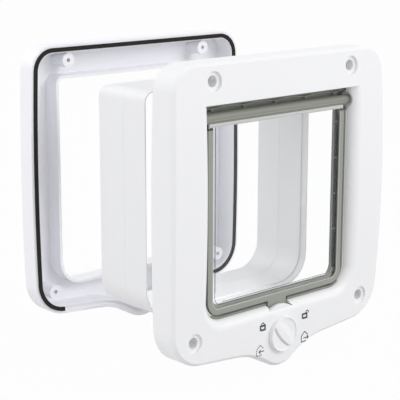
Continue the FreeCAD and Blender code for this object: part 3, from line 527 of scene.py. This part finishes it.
class MeshMaker:
    """Builds one mesh from simple forms given in millimetres."""

    MERGE_DISTANCE = 1e-6

    def __init__(self, name: str) -> None:
        """Start an empty mesh.

        Args:
            name: the mesh's name.
        """
        self.name = name
        self.work = bmesh.new()

    def vertex(self, x: float, y: float, z: float) -> bmesh.types.BMVert:
        """Add a vertex at a place in millimetres."""
        return self.work.verts.new((x * MM, y * MM, z * MM))

    def wall(
        self, near: Sequence[bmesh.types.BMVert], far: Sequence[bmesh.types.BMVert],
    ) -> None:
        """Join two closed rows of as many vertices with a band of faces.

        Args:
            near: the first row.
            far: the second row.
        """
        for n in range(len(near)):
            following = (n + 1) % len(near)
            self.work.faces.new((near[n], far[n], far[following], near[following]))

    def prism(self, outline: Sequence[Point], front: float, back: float) -> None:
        """Add a closed plate with this outline across and up.

        Args:
            outline: corners as pairs of across and up, in order.
            front: the Y of its room side.
            back: the Y of its far side.
        """
        near = [self.vertex(x, front, z) for x, z in outline]
        far = [self.vertex(x, back, z) for x, z in outline]
        self.work.faces.new(near)
        self.work.faces.new(far[::-1])
        self.wall(near, far)

    def ribbon(self, path: Sequence[Point], width: float, front: float, back: float) -> None:
        """Add a flat band of even width along an open path.

        Args:
            path: points as pairs of across and up.
            width: the band's width.
            front: the Y of its room side.
            back: the Y of its far side.
        """
        left, right = [], []
        for n, (x, z) in enumerate(path):
            before = Vector(path[max(n - 1, 0)])
            after = Vector(path[min(n + 1, len(path) - 1)])
            here = Vector((x, z))
            lead = (here - before).normalized() if n > 0 else (after - here).normalized()
            trail = (after - here).normalized() if n < len(path) - 1 else lead
            along = (lead + trail).normalized()
            square = Vector((-along.y, along.x))
            reach = width / 2 / max(LEAST_MITRE, along.dot(lead))
            left.append(tuple(here + square * reach))
            right.append(tuple(here - square * reach))
        self.prism(left + right[::-1], front, back)

    def rings(self, sections: Sequence[Sequence[Place]]) -> None:
        """Add a solid through sections of as many points each, closed at both ends.

        Args:
            sections: the sections in order, as places in millimetres.
        """
        rows = [[self.vertex(*place) for place in section] for section in sections]
        for near, far in zip(rows, rows[1:]):
            self.wall(near, far)
        self.work.faces.new(rows[0][::-1])
        self.work.faces.new(rows[-1])

    def finish(self, smooth: float = 0.0) -> bpy.types.Mesh:
        """Close the work and hand over the mesh.

        Args:
            smooth: edges flatter than this many degrees are shaded smooth.

        Returns:
            The mesh.
        """
        bmesh.ops.remove_doubles(self.work, verts=self.work.verts, dist=self.MERGE_DISTANCE)
        bmesh.ops.recalc_face_normals(self.work, faces=self.work.faces)
        limit = math.radians(smooth)
        for face in self.work.faces:
            face.smooth = smooth > 0
        for edge in self.work.edges:
            edge.smooth = len(edge.link_faces) == 2 and edge.calc_face_angle(0.0) < limit
        mesh = bpy.data.meshes.new(self.name)
        self.work.to_mesh(mesh)
        self.work.free()
        return mesh


class Sign(Enum):
    """What the lock's four printed signs show."""

    SHUT_PADLOCK = "sign_shut_padlock"
    OPEN_PADLOCK = "sign_open_padlock"
    HOUSE_AND_WAY_IN = "sign_house_way_in"
    HOUSE_AND_WAY_OUT = "sign_house_way_out"


@dataclass(frozen=True)
class Padlock:
    """A padlock about a sign's middle, in parts of the sign's height."""

    case_half: float = 0.31
    case_low: float = -0.42
    case_high: float = 0.0
    case_line: float = 0.2
    bow_radius: float = 0.18
    bow_lift: float = 0.12
    bow_line: float = 0.11
    bow_steps: int = 8
    open_end: float = 0.024

    def strokes(self, sign: Sign) -> list[Stroke]:
        """Lines of the padlock.

        Args:
            sign: the shut or the open padlock.

        Returns:
            Paths, each with its width.
        """
        wide, low, high = self.case_half, self.case_low, self.case_high
        case = [(-wide, low), (wide, low), (wide, high), (-wide, high), (-wide, low)]
        opened = sign is Sign.OPEN_PADLOCK
        radius = self.bow_radius
        shift = 2 * radius if opened else 0.0
        bow = [(shift - radius, high)]
        for step in range(self.bow_steps + 1):
            turn = math.pi * (1 - step / self.bow_steps)
            rise = high + self.bow_lift + radius * math.sin(turn)
            bow.append((shift + radius * math.cos(turn), rise))
        bow.append((shift + radius, high + (self.open_end if opened else 0.0)))
        return [(case, self.case_line), (bow, self.bow_line)]


@dataclass(frozen=True)
class House:
    """A house with an arrow through its open side, in parts of the sign's height."""

    half: float = 0.42
    low: float = -0.45
    eaves: float = 0.12
    ridge: float = 0.5
    floor_share: float = 0.55
    line: float = 0.095
    arrow_inner: float = -0.12
    arrow_outer: float = 0.5
    arrow_level: float = -0.12
    arrow_barb: float = 0.17
    dash_pitch: float = 0.2
    dash_start: float = 0.15
    dash_end: float = 0.8

    def strokes(self, sign: Sign) -> list[Stroke]:
        """Lines of the house, in dashes for the way in, and of its arrow.

        Args:
            sign: the way in or the way out.

        Returns:
            Paths, each with its width.
        """
        walls = [
            (self.half * self.floor_share, self.low), (-self.half, self.low),
            (-self.half, self.eaves), (0.0, self.ridge), (self.half, self.eaves),
        ]
        entering = sign is Sign.HOUSE_AND_WAY_IN
        ends = (self.arrow_inner, self.arrow_outer)
        tip, tail = ends if entering else ends[::-1]
        back = tip + (self.arrow_barb if tip < tail else -self.arrow_barb)
        level, barb = self.arrow_level, self.arrow_barb
        arrow = [
            ([(tail, level), (tip, level)], self.line),
            ([(back, level + barb), (tip, level), (back, level - barb)], self.line),
        ]
        return [*(self.dashes(walls) if entering else [(walls, self.line)]), *arrow]

    def dashes(self, path: list[Point]) -> list[Stroke]:
        """Cut a path into dashes.

        Args:
            path: the whole path.

        Returns:
            Short paths, each with its width.
        """
        cut = []
        for start, end in zip(path, path[1:]):
            run = Vector(end) - Vector(start)
            count = max(2, round(run.length / self.dash_pitch))
            for n in range(count):
                near = Vector(start) + run * (n + self.dash_start) / count
                far = Vector(start) + run * (n + self.dash_end) / count
                cut.append(([tuple(near), tuple(far)], self.line))
        return cut


@dataclass
class PrintedSigns:
    """Four plain signs round the lock's knob, printed on the flat lower face."""

    shut_padlock: Point = (-18.5, -85.6)
    open_padlock: Point = (22.4, -85.9)
    house_in: Point = (-20.9, -102.6)
    house_out: Point = (22.7, -102.6)
    padlock_height: float = 6.9
    house_height: float = 7.6
    ink_thickness: float = 0.05
    face_y: float = -19.0
    padlock: Padlock = Padlock()
    house: House = House()

    def build(self) -> None:
        """Print all four signs."""
        for sign, centre in (
            (Sign.SHUT_PADLOCK, self.shut_padlock), (Sign.OPEN_PADLOCK, self.open_padlock),
        ):
            self.print_sign(sign, self.padlock.strokes(sign), centre, self.padlock_height)
        for sign, centre in (
            (Sign.HOUSE_AND_WAY_IN, self.house_in), (Sign.HOUSE_AND_WAY_OUT, self.house_out),
        ):
            self.print_sign(sign, self.house.strokes(sign), centre, self.house_height)

    def print_sign(
        self, sign: Sign, strokes: Sequence[Stroke], centre: Point, height: float,
    ) -> bpy.types.Object:
        """Print one sign.

        Args:
            sign: which sign it is.
            strokes: its lines, in parts of its height.
            centre: its middle, across and up.
            height: its size from foot to top.

        Returns:
            The sign's piece.
        """
        maker = MeshMaker(sign.value)
        front = self.face_y - self.ink_thickness
        for path, width in strokes:
            placed = [(centre[0] + u * height, centre[1] + v * height) for u, v in path]
            maker.ribbon(placed, width * height, front, self.face_y)
        return add_piece(sign.value, maker.finish(), Body.ROOM_SIDE, Finishes.INK)


@dataclass
class InnerFrame:
    """Room-side moulding: shell, seal ring, soft lips, bushes, magnet, cover and signs."""

    edge: float = 0.35
    ring_edge: float = 0.2
    lip_pitch: float = 28.8
    lip_arch: float = 0.8
    lip_thickness: float = 0.55
    lip_nose_share: float = 1 / 3
    lip_steps_per_arch: int = 16
    lip_smooth: float = 50.0
    strip_width: float = 1.4
    strip_proud: float = 0.1
    strip_depth: float = 1.1
    strip_top: float = 52.0
    strip_turn: float = 52.0
    strip_steps: int = 12
    nose_wall: float = 1.35
    mouth_half: float = 66.0
    mouth_low: float = -72.8
    mouth_corner: float = 13.5
    signs: PrintedSigns = field(default_factory=PrintedSigns)

    def build(self) -> None:
        """Dress the carried-over nodes and add the lip, the side strips of painted highlight and
        the signs.
        """
        self.dress()
        self.head_lip()
        for side, name in ((-1, "ring_side_highlight_strip_left"), (1, "ring_side_highlight_strip_right")):
            self.side_highlight_strip(side, name)
        self.signs.build()

    def dress(self) -> None:
        """Give each node its finish."""
        for name in ("inner_frame", "mechanism_cover", "hinge_bush_left", "hinge_bush_right"):
            dress_node(name, Finishes.WHITE, soften=self.edge)
        dress_node("flap_seal_ring", Finishes.GREY, soften=self.ring_edge)
        for name in ("draught_lip_left", "draught_lip_right"):
            dress_node(name, Finishes.GREY_LIP)
        dress_node("sill_magnet", Finishes.MAGNET)

    def head_lip(self) -> bpy.types.Object:
        """Soft strip along the head, arched between the posts that hold it.

        Returns:
            The strip's piece, which replaces its plain node.
        """
        low, high = corners_of("draught_lip_top")
        name = "arched_head_lip"
        maker = MeshMaker(name)
        length = high.x - low.x
        count = round(length / self.lip_pitch * self.lip_steps_per_arch)
        nose = low.y + self.lip_thickness * self.lip_nose_share
        sections = []
        for step in range(count + 1):
            x = low.x + length * step / count
            arch = abs(math.sin(math.pi * (x / self.lip_pitch)))
            top = high.z - self.lip_arch * (1 - arch)
            bottom = top - self.lip_thickness
            sections.append([
                (x, nose, top), (x, high.y, top), (x, high.y, bottom), (x, nose, bottom),
                (x, low.y, (top + bottom) / 2),
            ])
        maker.rings(sections)
        mesh = maker.finish(self.lip_smooth)
        piece = add_piece(name, mesh, Body.ROOM_SIDE, Finishes.GREY_LIP)
        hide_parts("draught_lip_top")
        return piece

    def side_highlight_strip(self, side: int, name: str) -> bpy.types.Object:
        """Pale strip of painted highlight over the seal ring's nose, down one side and round its
        lower corner, for the light that the nose's rounded edge catches.

        Args:
            side: -1 for the left side, 1 for the right.
            name: the piece's name.

        Returns:
            The strip's piece.
        """
        front = corners_of("flap_seal_ring")[0].y
        radius = self.mouth_corner + self.nose_wall / 2
        turn_x = self.mouth_half - self.mouth_corner
        turn_z = self.mouth_low + self.mouth_corner
        path = [(side * (turn_x + radius), self.strip_top)]
        for step in range(self.strip_steps + 1):
            turn = math.radians(self.strip_turn * step / self.strip_steps)
            across = turn_x + radius * math.cos(turn)
            path.append((side * across, turn_z - radius * math.sin(turn)))
        maker = MeshMaker(name)
        maker.ribbon(path, self.strip_width, front - self.strip_proud, front + self.strip_depth)
        return add_piece(
            name, maker.finish(), Body.ROOM_SIDE, Finishes.HIGHLIGHT_GREY,
        )


@dataclass
class Flap:
    """The swinging flap: bar, pin, clear pane with dark lines painted as shade, rim and magnet."""

    rim_edge: float = 0.3
    bar_edge: float = 0.15
    pane_edge: float = 0.2
    rim_width: float = 4.5
    line_inset: float = 2.2
    foot_line_inset: float = 3.7
    back_line_inset: float = 4.3
    line_width: float = 0.35
    back_line_width: float = 0.6
    line_height: float = 0.12
    corner: float = 5.5
    corner_steps: int = 10
    line_gap: float = 0.02
    head_gap: float = 4.0
    seat_shade_inside: float = 2.2
    seat_shade_outside: float = 1.2
    seat_shade_thickness: float = 0.05
    clip_top: float = 44.4
    clip_pitch: float = 25.6
    clip_count: int = 4
    clip_height: float = 1.1
    rim_highlight_width: float = 0.4
    rim_highlight_rise: float = 0.06
    ridge_angles: tuple[float, float] = (-18.0, -48.0)
    ridge_width: float = 0.6
    ridge_rise: float = 0.25
    ridge_smooth: float = 60.0
    clamp_thickness: float = 0.7
    clamp_top: float = 56.2
    clamp_low: float = 54.7
    head_highlight_low: float = 53.7

    def build(self) -> None:
        """Dress the carried-over nodes and add the fine trims of pane, rim and bar, which are
        painted shade and painted highlight.
        """
        dress_node("flap_rim", Finishes.PALE_GREY, soften=self.rim_edge)
        dress_node("hinge_bar", Finishes.GREY, soften=self.bar_edge)
        dress_node("flap_pane", Finishes.PANE, soften=self.pane_edge)
        dress_node("hinge_pin", Finishes.STEEL)
        dress_node("flap_magnet", Finishes.MAGNET)
        self.pane_lines()
        self.pane_seat_shade()
        self.rim_highlight()
        self.head_clamp()
        self.bar_ridges()

    def round_path(self, inset: float, top: float) -> list[Point]:
        """A path down one side of the flap, round its foot and up the other side.

        Args:
            inset: how far it runs inside the rim's inner edge.
            top: where both its ends are, up.

        Returns:
            Points as pairs of across and up.
        """
        half = corners_of("flap_rim")[1].x
        pane_low, pane_high = corners_of("flap_pane")
        wide = half - self.rim_width - inset
        foot = pane_low.z - (half - pane_high.x) + self.rim_width + inset
        corner = self.corner
        path = [(-wide, top)]
        for side, start in ((-1, 1.0), (1, 1.5)):
            for step in range(self.corner_steps + 1):
                turn = math.pi * (start + step / self.corner_steps / 2)
                across = side * (wide - corner) + corner * math.cos(turn)
                path.append((across, foot + corner + corner * math.sin(turn)))
        path.append((wide, top))
        return path

    def pane_lines(self) -> None:
        """Dark lines on both faces of the pane, inside the rim, as painted shade where the clear
        pane's moulded steps show dark.
        """
        low, high = corners_of("flap_pane")
        top = high.z - self.head_gap
        near = low.y - self.line_gap
        proud = near - self.line_height
        front = MeshMaker("pane_line_front")
        front.ribbon(self.round_path(self.line_inset, top), self.line_width, proud, near)
        foot = self.round_path(self.foot_line_inset, top)
        arc = self.corner_steps + 1
        front.ribbon([foot[arc], foot[arc + 1]], self.line_width, proud, near)
        add_piece("pane_line_front", front.finish(), Body.FLAP, Finishes.PANE_LINE_SHADE)
        far = high.y + self.line_gap
        back = MeshMaker("pane_line_back")
        line = self.round_path(self.back_line_inset, top)
        for run in (line[:2], line[-2:]):
            back.ribbon(run, self.back_line_width, far, far + self.line_height)
        add_piece("pane_line_back", back.finish(), Body.FLAP, Finishes.PANE_LINE_SHADE)

    def pane_seat_shade(self) -> None:
        """Thin sheet behind the pane's edge as painted shade for the recess there, dark at the
        sides and greyer at the foot.
        """
        high = corners_of("flap_pane")[1]
        front = high.y + self.line_gap
        back = front + self.seat_shade_thickness
        width = self.seat_shade_inside + self.seat_shade_outside
        inset = (self.seat_shade_inside - self.seat_shade_outside) / 2
        line = self.round_path(inset, high.z - self.head_gap)
        foot = MeshMaker("pane_seat_shade_foot")
        foot.ribbon(line[1:-1], width, front, back)
        add_piece("pane_seat_shade_foot", foot.finish(), Body.FLAP, Finishes.FOOT_SEAT_SHADE)
        sides = MeshMaker("pane_seat_shade_sides")
        for (x, top), (_, bottom) in ((line[0], line[1]), (line[-1], line[-2])):
            upper = top
            for clip in range(self.clip_count + 1):
                middle = self.clip_top - self.clip_pitch * clip
                lower = bottom if clip == self.clip_count else middle + self.clip_height / 2
                sides.ribbon([(x, upper), (x, lower)], width, front, back)
                upper = middle - self.clip_height / 2
        add_piece("pane_seat_shade_sides", sides.finish(), Body.FLAP, Finishes.SEAT_SHADE)

    def rim_highlight(self) -> bpy.types.Object:
        """Fine pale strip along the inner edge of the rim's front, a painted highlight on that
        edge.

        Returns:
            The highlight's piece.
        """
        low, high = corners_of("flap_rim")
        maker = MeshMaker("rim_highlight")
        path = self.round_path(-self.rim_highlight_width, high.z - self.rim_highlight_width)
        maker.ribbon(path, self.rim_highlight_width, low.y - self.rim_highlight_rise, low.y)
        return add_piece("rim_highlight", maker.finish(), Body.FLAP, Finishes.HIGHLIGHT_GREY)

    def head_clamp(self) -> None:
        """Grey strip that clamps the pane under the bar, and the pale half-clear band below it: the
        strip's pale grey is painted light against the bar's shadow, and the band is a painted
        highlight on the pane's head.
        """
        low, high = corners_of("flap_pane")
        for name, top, bottom, finish, slot in (
            ("pane_clamp", self.clamp_top, self.clamp_low, Finishes.HIGHLIGHT_GREY, Slot.GREY),
            ("pane_head_highlight", self.clamp_low, self.head_highlight_low, Finishes.PANE_HEAD_HIGHLIGHT, Slot.CLEAR),
        ):
            middle = (top + bottom) / 2
            maker = MeshMaker(name)
            maker.ribbon(
                [(low.x, middle), (high.x, middle)], top - bottom,
                low.y - self.clamp_thickness, low.y - self.line_gap,
            )
            add_piece(name, maker.finish(), Body.FLAP, finish)

    def bar_ridges(self) -> bpy.types.Object:
        """Two fine ridges along the front of the bar, in the paler lip grey as painted highlight
        along them.

        Returns:
            The ridges' piece.
        """
        low, high = corners_of("hinge_bar")
        radius = (high.z - low.z) / 2
        axis_y, axis_z = (low.y + high.y) / 2, (low.z + high.z) / 2
        crest = radius + self.ridge_rise
        half_turn = self.ridge_width / 2 / radius
        profile = (
            (radius, -half_turn), (crest, -half_turn / 2), (crest, half_turn / 2),
            (radius, half_turn),
        )
        maker = MeshMaker("bar_ridges")
        for angle in self.ridge_angles:
            turn = math.radians(angle)
            section = [
                (axis_y - reach * math.cos(turn + offset), axis_z + reach * math.sin(turn + offset))
                for reach, offset in profile
            ]
            maker.rings([[(x, y, z) for y, z in section] for x in (low.x, high.x)])
        mesh = maker.finish(self.ridge_smooth)
        return add_piece("bar_ridges", mesh, Body.FLAP, Finishes.GREY_LIP)


@dataclass
class Lock:
    """The four-way lock: knob with its spindle, two stop discs, washer and screw."""

    disc_edge: float = 0.3
    screw_edge: float = 0.2
    dial_z: float = -95.0
    knob_radius: float = 12.25
    knob_under: float = -19.1
    knob_rise: float = 3.2
    knob_smooth: float = 40.0
    dish_floor: float = 1.5
    dish_slope: float = 0.3
    crease_width: float = 1.3
    crease_depth: float = 1.3
    border: float = 1.0
    edge: float = 0.5
    grip_half_width: float = 3.7
    grip_waist: float = 1.8
    wall: float = 0.7
    soft_wall: float = 6.0
    crown: float = 0.35
    grip_angle: float = 48.0
    hub_radius: float = 8.9
    hub_end: float = -17.6
    hub_around: int = 72
    spindle_half: float = 5.0
    spindle_end: float = -8.0
    neck_half: float = 3.5
    neck_end: float = -5.8
    around: int = 144
    outward: int = 48
    outward_crowding: float = 0.9

    def build(self) -> None:
        """Dress the carried-over nodes and build the knob."""
        for name in ("front_lock_disc", "rear_lock_disc"):
            dress_node(name, Finishes.WHITE, soften=self.disc_edge)
        dress_node("dial_washer", Finishes.STEEL)
        dress_node("dial_screw", Finishes.STEEL, soften=self.screw_edge)
        self.knob()

    def height(self, across: float, along: float) -> float:
        """How far the knob's front stands above its underside.

        Args:
            across: distance from the grip's middle line.
            along: distance along the grip from the knob's centre.

        Returns:
            The height in millimetres.
        """
        radius = math.hypot(across, along)
        inside = self.knob_radius - self.border
        half = self.grip_half_width - self.grip_waist * (along / self.knob_radius) ** 2
        wall = self.wall if across < 0 else self.soft_wall
        # Each wall's slope has its middle on the wall's line
        grip = self.step((half - abs(across)) / wall + 0.5)
        rim = self.step((radius - inside) / self.wall + 0.5)
        slope = (self.knob_rise - self.dish_floor) * self.dish_slope
        dish = self.dish_floor + slope * self.step(radius / inside)
        if across < 0:
            beyond = max(0.0, -across - half) / self.crease_width
            within = self.step((inside - radius) / self.crease_width)
            dish -= self.crease_depth * (1 - self.step(beyond)) * within
        top = self.knob_rise - self.crown * (radius / self.knob_radius) ** 2
        height = dish + (top - dish) * max(grip, rim)
        over = radius - (self.knob_radius - self.edge)
        if over > 0:
            height -= self.edge - math.sqrt(max(0.0, self.edge ** 2 - over ** 2))
        return height

    @staticmethod
    def step(part: float) -> float:
        """A smooth rise from 0 to 1 as the part goes from 0 to 1."""
        part = min(1.0, max(0.0, part))
        return part * part * (3 - 2 * part)

    def turned(self, across: float, along: float) -> Point:
        """Turn a place on the knob with the grip.

        Args:
            across: distance from the grip's middle line.
            along: distance along the grip from the knob's centre.

        Returns:
            The place as a pair of across and up in the frame.
        """
        turn = math.radians(self.grip_angle)
        x = along * math.cos(turn) + across * math.sin(turn)
        z = -along * math.sin(turn) + across * math.cos(turn)
        return x, self.dial_z + z

    def knob(self) -> bpy.types.Object:
        """The knob with its hub, spindle and neck as one piece.

        Returns:
            The piece, which replaces the plain dial.
        """
        maker = MeshMaker("lock_knob")
        self.knob_head(maker)
        hub = []
        for step in range(self.hub_around):
            turn = 2 * math.pi * step / self.hub_around
            across, along = self.hub_radius * math.sin(turn), self.hub_radius * math.cos(turn)
            hub.append(self.turned(across, along))
        maker.prism(hub, self.knob_under, self.hub_end)
        for half, start, end in (
            (self.spindle_half, self.hub_end, self.spindle_end),
            (self.neck_half, self.spindle_end, self.neck_end),
        ):
            corners = ((-half, -half), (half, -half), (half, half), (-half, half))
            maker.prism([self.turned(*corner) for corner in corners], start, end)
        mesh = maker.finish(self.knob_smooth)
        piece = add_piece("lock_knob", mesh, Body.LOCK, Finishes.WHITE)
        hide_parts("lock_dial")
        return piece

    def knob_head(self, maker: MeshMaker) -> None:
        """Add the knob's dished front, side wall and underside.

        Args:
            maker: the mesh that is being built.
        """
        rows = []
        for ring in range(self.outward + 1):
            radius = self.knob_radius * (ring / self.outward) ** self.outward_crowding
            row = []
            for spoke in range(self.around):
                turn = 2 * math.pi * spoke / self.around
                across, along = radius * math.sin(turn), radius * math.cos(turn)
                x, z = self.turned(across, along)
                row.append((x, self.knob_under - self.height(across, along), z))
            rows.append(row)
        rows.append([(x, self.knob_under, z) for x, _, z in rows[-1]])
        centre = maker.vertex(*rows[0][0])
        rings = [[maker.vertex(*place) for place in row] for row in rows[1:]]
        for n in range(self.around):
            maker.work.faces.new((centre, rings[0][n], rings[0][(n + 1) % self.around]))
        for near, far in zip(rings, rings[1:]):
            maker.wall(near, far)
        maker.work.faces.new(rings[-1])


@dataclass
class Tunnel:
    """Two white rings that fit into each other."""

    edge: float = 0.3

    def build(self) -> None:
        """Dress both rings."""
        for name in ("tunnel_front_ring", "tunnel_rear_ring"):
            dress_node(name, Finishes.WHITE, soften=self.edge)


@dataclass
class OuterFrame:
    """Outdoor-side moulding and the round foam cord in its rim."""

    edge: float = 0.6
    cord_rounding: float = 0.85
    cord_angle: float = 60.0

    def build(self) -> None:
        """Dress the moulding, whose flat faces have holes, and the cord."""
        dress_node("outer_frame", Finishes.COOL_WHITE, soften=self.edge, flatten=False)
        dress_node(
            "outer_frame_seal", Finishes.FOAM, angle=self.cord_angle, soften=self.cord_rounding,
        )


@dataclass
class PhotoCamera:
    """The photograph's camera, fitted to the screw holes of both frames."""

    azimuth: float = -42.034
    elevation: float = 12.963
    roll: float = 0.06
    distance: float = 0.79759
    target: Place = (-0.075675, -0.019, 0.010342)
    focal_pixels: float = 1269.676
    image_pixels: float = 400.0
    sensor_mm: float = 36.0
    nearest: float = 0.01

    def build(self) -> bpy.types.Object:
        """Create the camera and make it the scene's.

        Returns:
            The camera object.
        """
        turn, rise, tip = (math.radians(v) for v in (self.azimuth, self.elevation, self.roll))
        back = Vector((
            math.sin(turn) * math.cos(rise),
            -math.cos(turn) * math.cos(rise),
            math.sin(rise),
        ))
        right = Vector((0, 0, 1)).cross(back).normalized()
        up = back.cross(right)
        tipped_right = math.cos(tip) * right + math.sin(tip) * up
        tipped_up = -math.sin(tip) * right + math.cos(tip) * up
        data = bpy.data.cameras.new("camera")
        data.sensor_width = self.sensor_mm
        data.lens = self.focal_pixels * self.sensor_mm / self.image_pixels
        data.clip_start = self.nearest
        camera = bpy.data.objects.new("camera", data)
        matrix = Matrix((tipped_right, tipped_up, back)).transposed().to_4x4()
        matrix.translation = Vector(self.target) + back * self.distance
        camera.matrix_world = matrix
        bpy.context.scene.collection.objects.link(camera)
        bpy.context.scene.camera = camera
        return camera


@dataclass(frozen=True)
class Lamp:
    """A square soft lamp that faces the object, with its side in metres and power in watts."""

    name: str
    place: Place
    size: float
    power: float
    aim: Place = (0.0, 0.05, 0.0)

    def build(self) -> bpy.types.Object:
        """Create the lamp.

        Returns:
            The lamp object.
        """
        data = bpy.data.lights.new(self.name, "AREA")
        data.size = self.size
        data.energy = self.power
        lamp = bpy.data.objects.new(self.name, data)
        lamp.location = self.place
        towards = Vector(self.aim) - Vector(self.place)
        lamp.rotation_euler = towards.to_track_quat("-Z", "Y").to_euler()
        bpy.context.scene.collection.objects.link(lamp)
        return lamp


@dataclass
class Studio:
    """White floor, even light and soft lamps."""

    floor_half: float = 4.0
    floor_white: float = 0.62
    floor_roughness: float = 0.9
    floor_glow: float = 0.97
    surround: float = 0.66
    surround_tint: Colour = (0.985, 0.99, 1.0)
    lamps: tuple[Lamp, ...] = (
        Lamp("key", (0.75, -1.6, 1.15), 1.4, 18.5),
        Lamp("side", (-1.9, 0.35, 0.6), 1.2, 9.5),
        Lamp("back", (-0.6, 1.6, 1.0), 1.2, 5.0),
    )

    def build(self) -> None:
        """Build the floor, the world's light and the lamps."""
        self.floor()
        self.world()
        for lamp in self.lamps:
            lamp.build()

    def floor(self) -> bpy.types.Object:
        """A white floor at the object's lowest point that shows white and keeps a faint shadow.

        Returns:
            The floor object.
        """
        level = CAD_BOUNDS[0][2]
        half = self.floor_half
        mesh = bpy.data.meshes.new("floor")
        square = ((-half, -half), (half, -half), (half, half), (-half, half))
        mesh.from_pydata([(x, y, level) for x, y in square], [], [(0, 1, 2, 3)])
        floor = bpy.data.objects.new("floor", mesh)
        bpy.context.scene.collection.objects.link(floor)
        made = bpy.data.materials.new("floor_white")
        made.use_nodes = True
        tree = made.node_tree
        shader = tree.nodes["Principled BSDF"]
        shader.inputs["Base Color"].default_value = (self.floor_white,) * 3 + (1.0,)
        shader.inputs["Roughness"].default_value = self.floor_roughness
        share = compute(tree, "MULTIPLY", self.seen_directly(tree), self.floor_glow)
        glow = tree.nodes.new("ShaderNodeEmission")
        mix = tree.nodes.new("ShaderNodeMixShader")
        feed(tree, share, mix.inputs[0])
        feed(tree, shader.outputs[0], mix.inputs[1])
        feed(tree, glow.outputs[0], mix.inputs[2])
        feed(tree, mix.outputs[0], tree.nodes["Material Output"].inputs["Surface"])
        mesh.materials.append(made)
        return floor

    @staticmethod
    def seen_directly(tree: bpy.types.NodeTree) -> bpy.types.NodeSocket:
        """Tell what the camera, a mirror or glass shows from what only lights the object.

        Args:
            tree: the tree that asks.

        Returns:
            A socket that is 1 for what is shown, and 0 for light.
        """
        path = tree.nodes.new("ShaderNodeLightPath").outputs
        mirrored = compute(tree, "MAXIMUM", path["Is Camera Ray"], path["Is Glossy Ray"])
        return compute(tree, "MAXIMUM", mirrored, path["Is Transmission Ray"])

    def world(self) -> None:
        """White all round, at a plain level as light and at full white where it is seen."""
        world = bpy.data.worlds.new("studio")
        bpy.context.scene.world = world
        world.use_nodes = True
        tree = world.node_tree
        plain = tree.nodes["Background"]
        plain.inputs["Color"].default_value = (*self.surround_tint, 1.0)
        plain.inputs["Strength"].default_value = self.surround
        bright = tree.nodes.new("ShaderNodeBackground")
        bright.inputs["Color"].default_value = (1.0, 1.0, 1.0, 1.0)
        bright.inputs["Strength"].default_value = 1.0
        mix = tree.nodes.new("ShaderNodeMixShader")
        feed(tree, self.seen_directly(tree), mix.inputs[0])
        feed(tree, plain.outputs[0], mix.inputs[1])
        feed(tree, bright.outputs[0], mix.inputs[2])
        feed(tree, mix.outputs[0], tree.nodes["World Output"].inputs["Surface"])


def main() -> None:
    """Build every sub-assembly in order, and set up camera and studio."""
    bpy.context.scene.view_settings.view_transform = "Standard"
    PhotoCamera().build()
    for assembly in (InnerFrame(), Flap(), Lock(), Tunnel(), OuterFrame()):
        LOG.info("building %s", type(assembly).__name__)
        assembly.build()
    Studio().build()


if __name__ == "__main__":
    main()
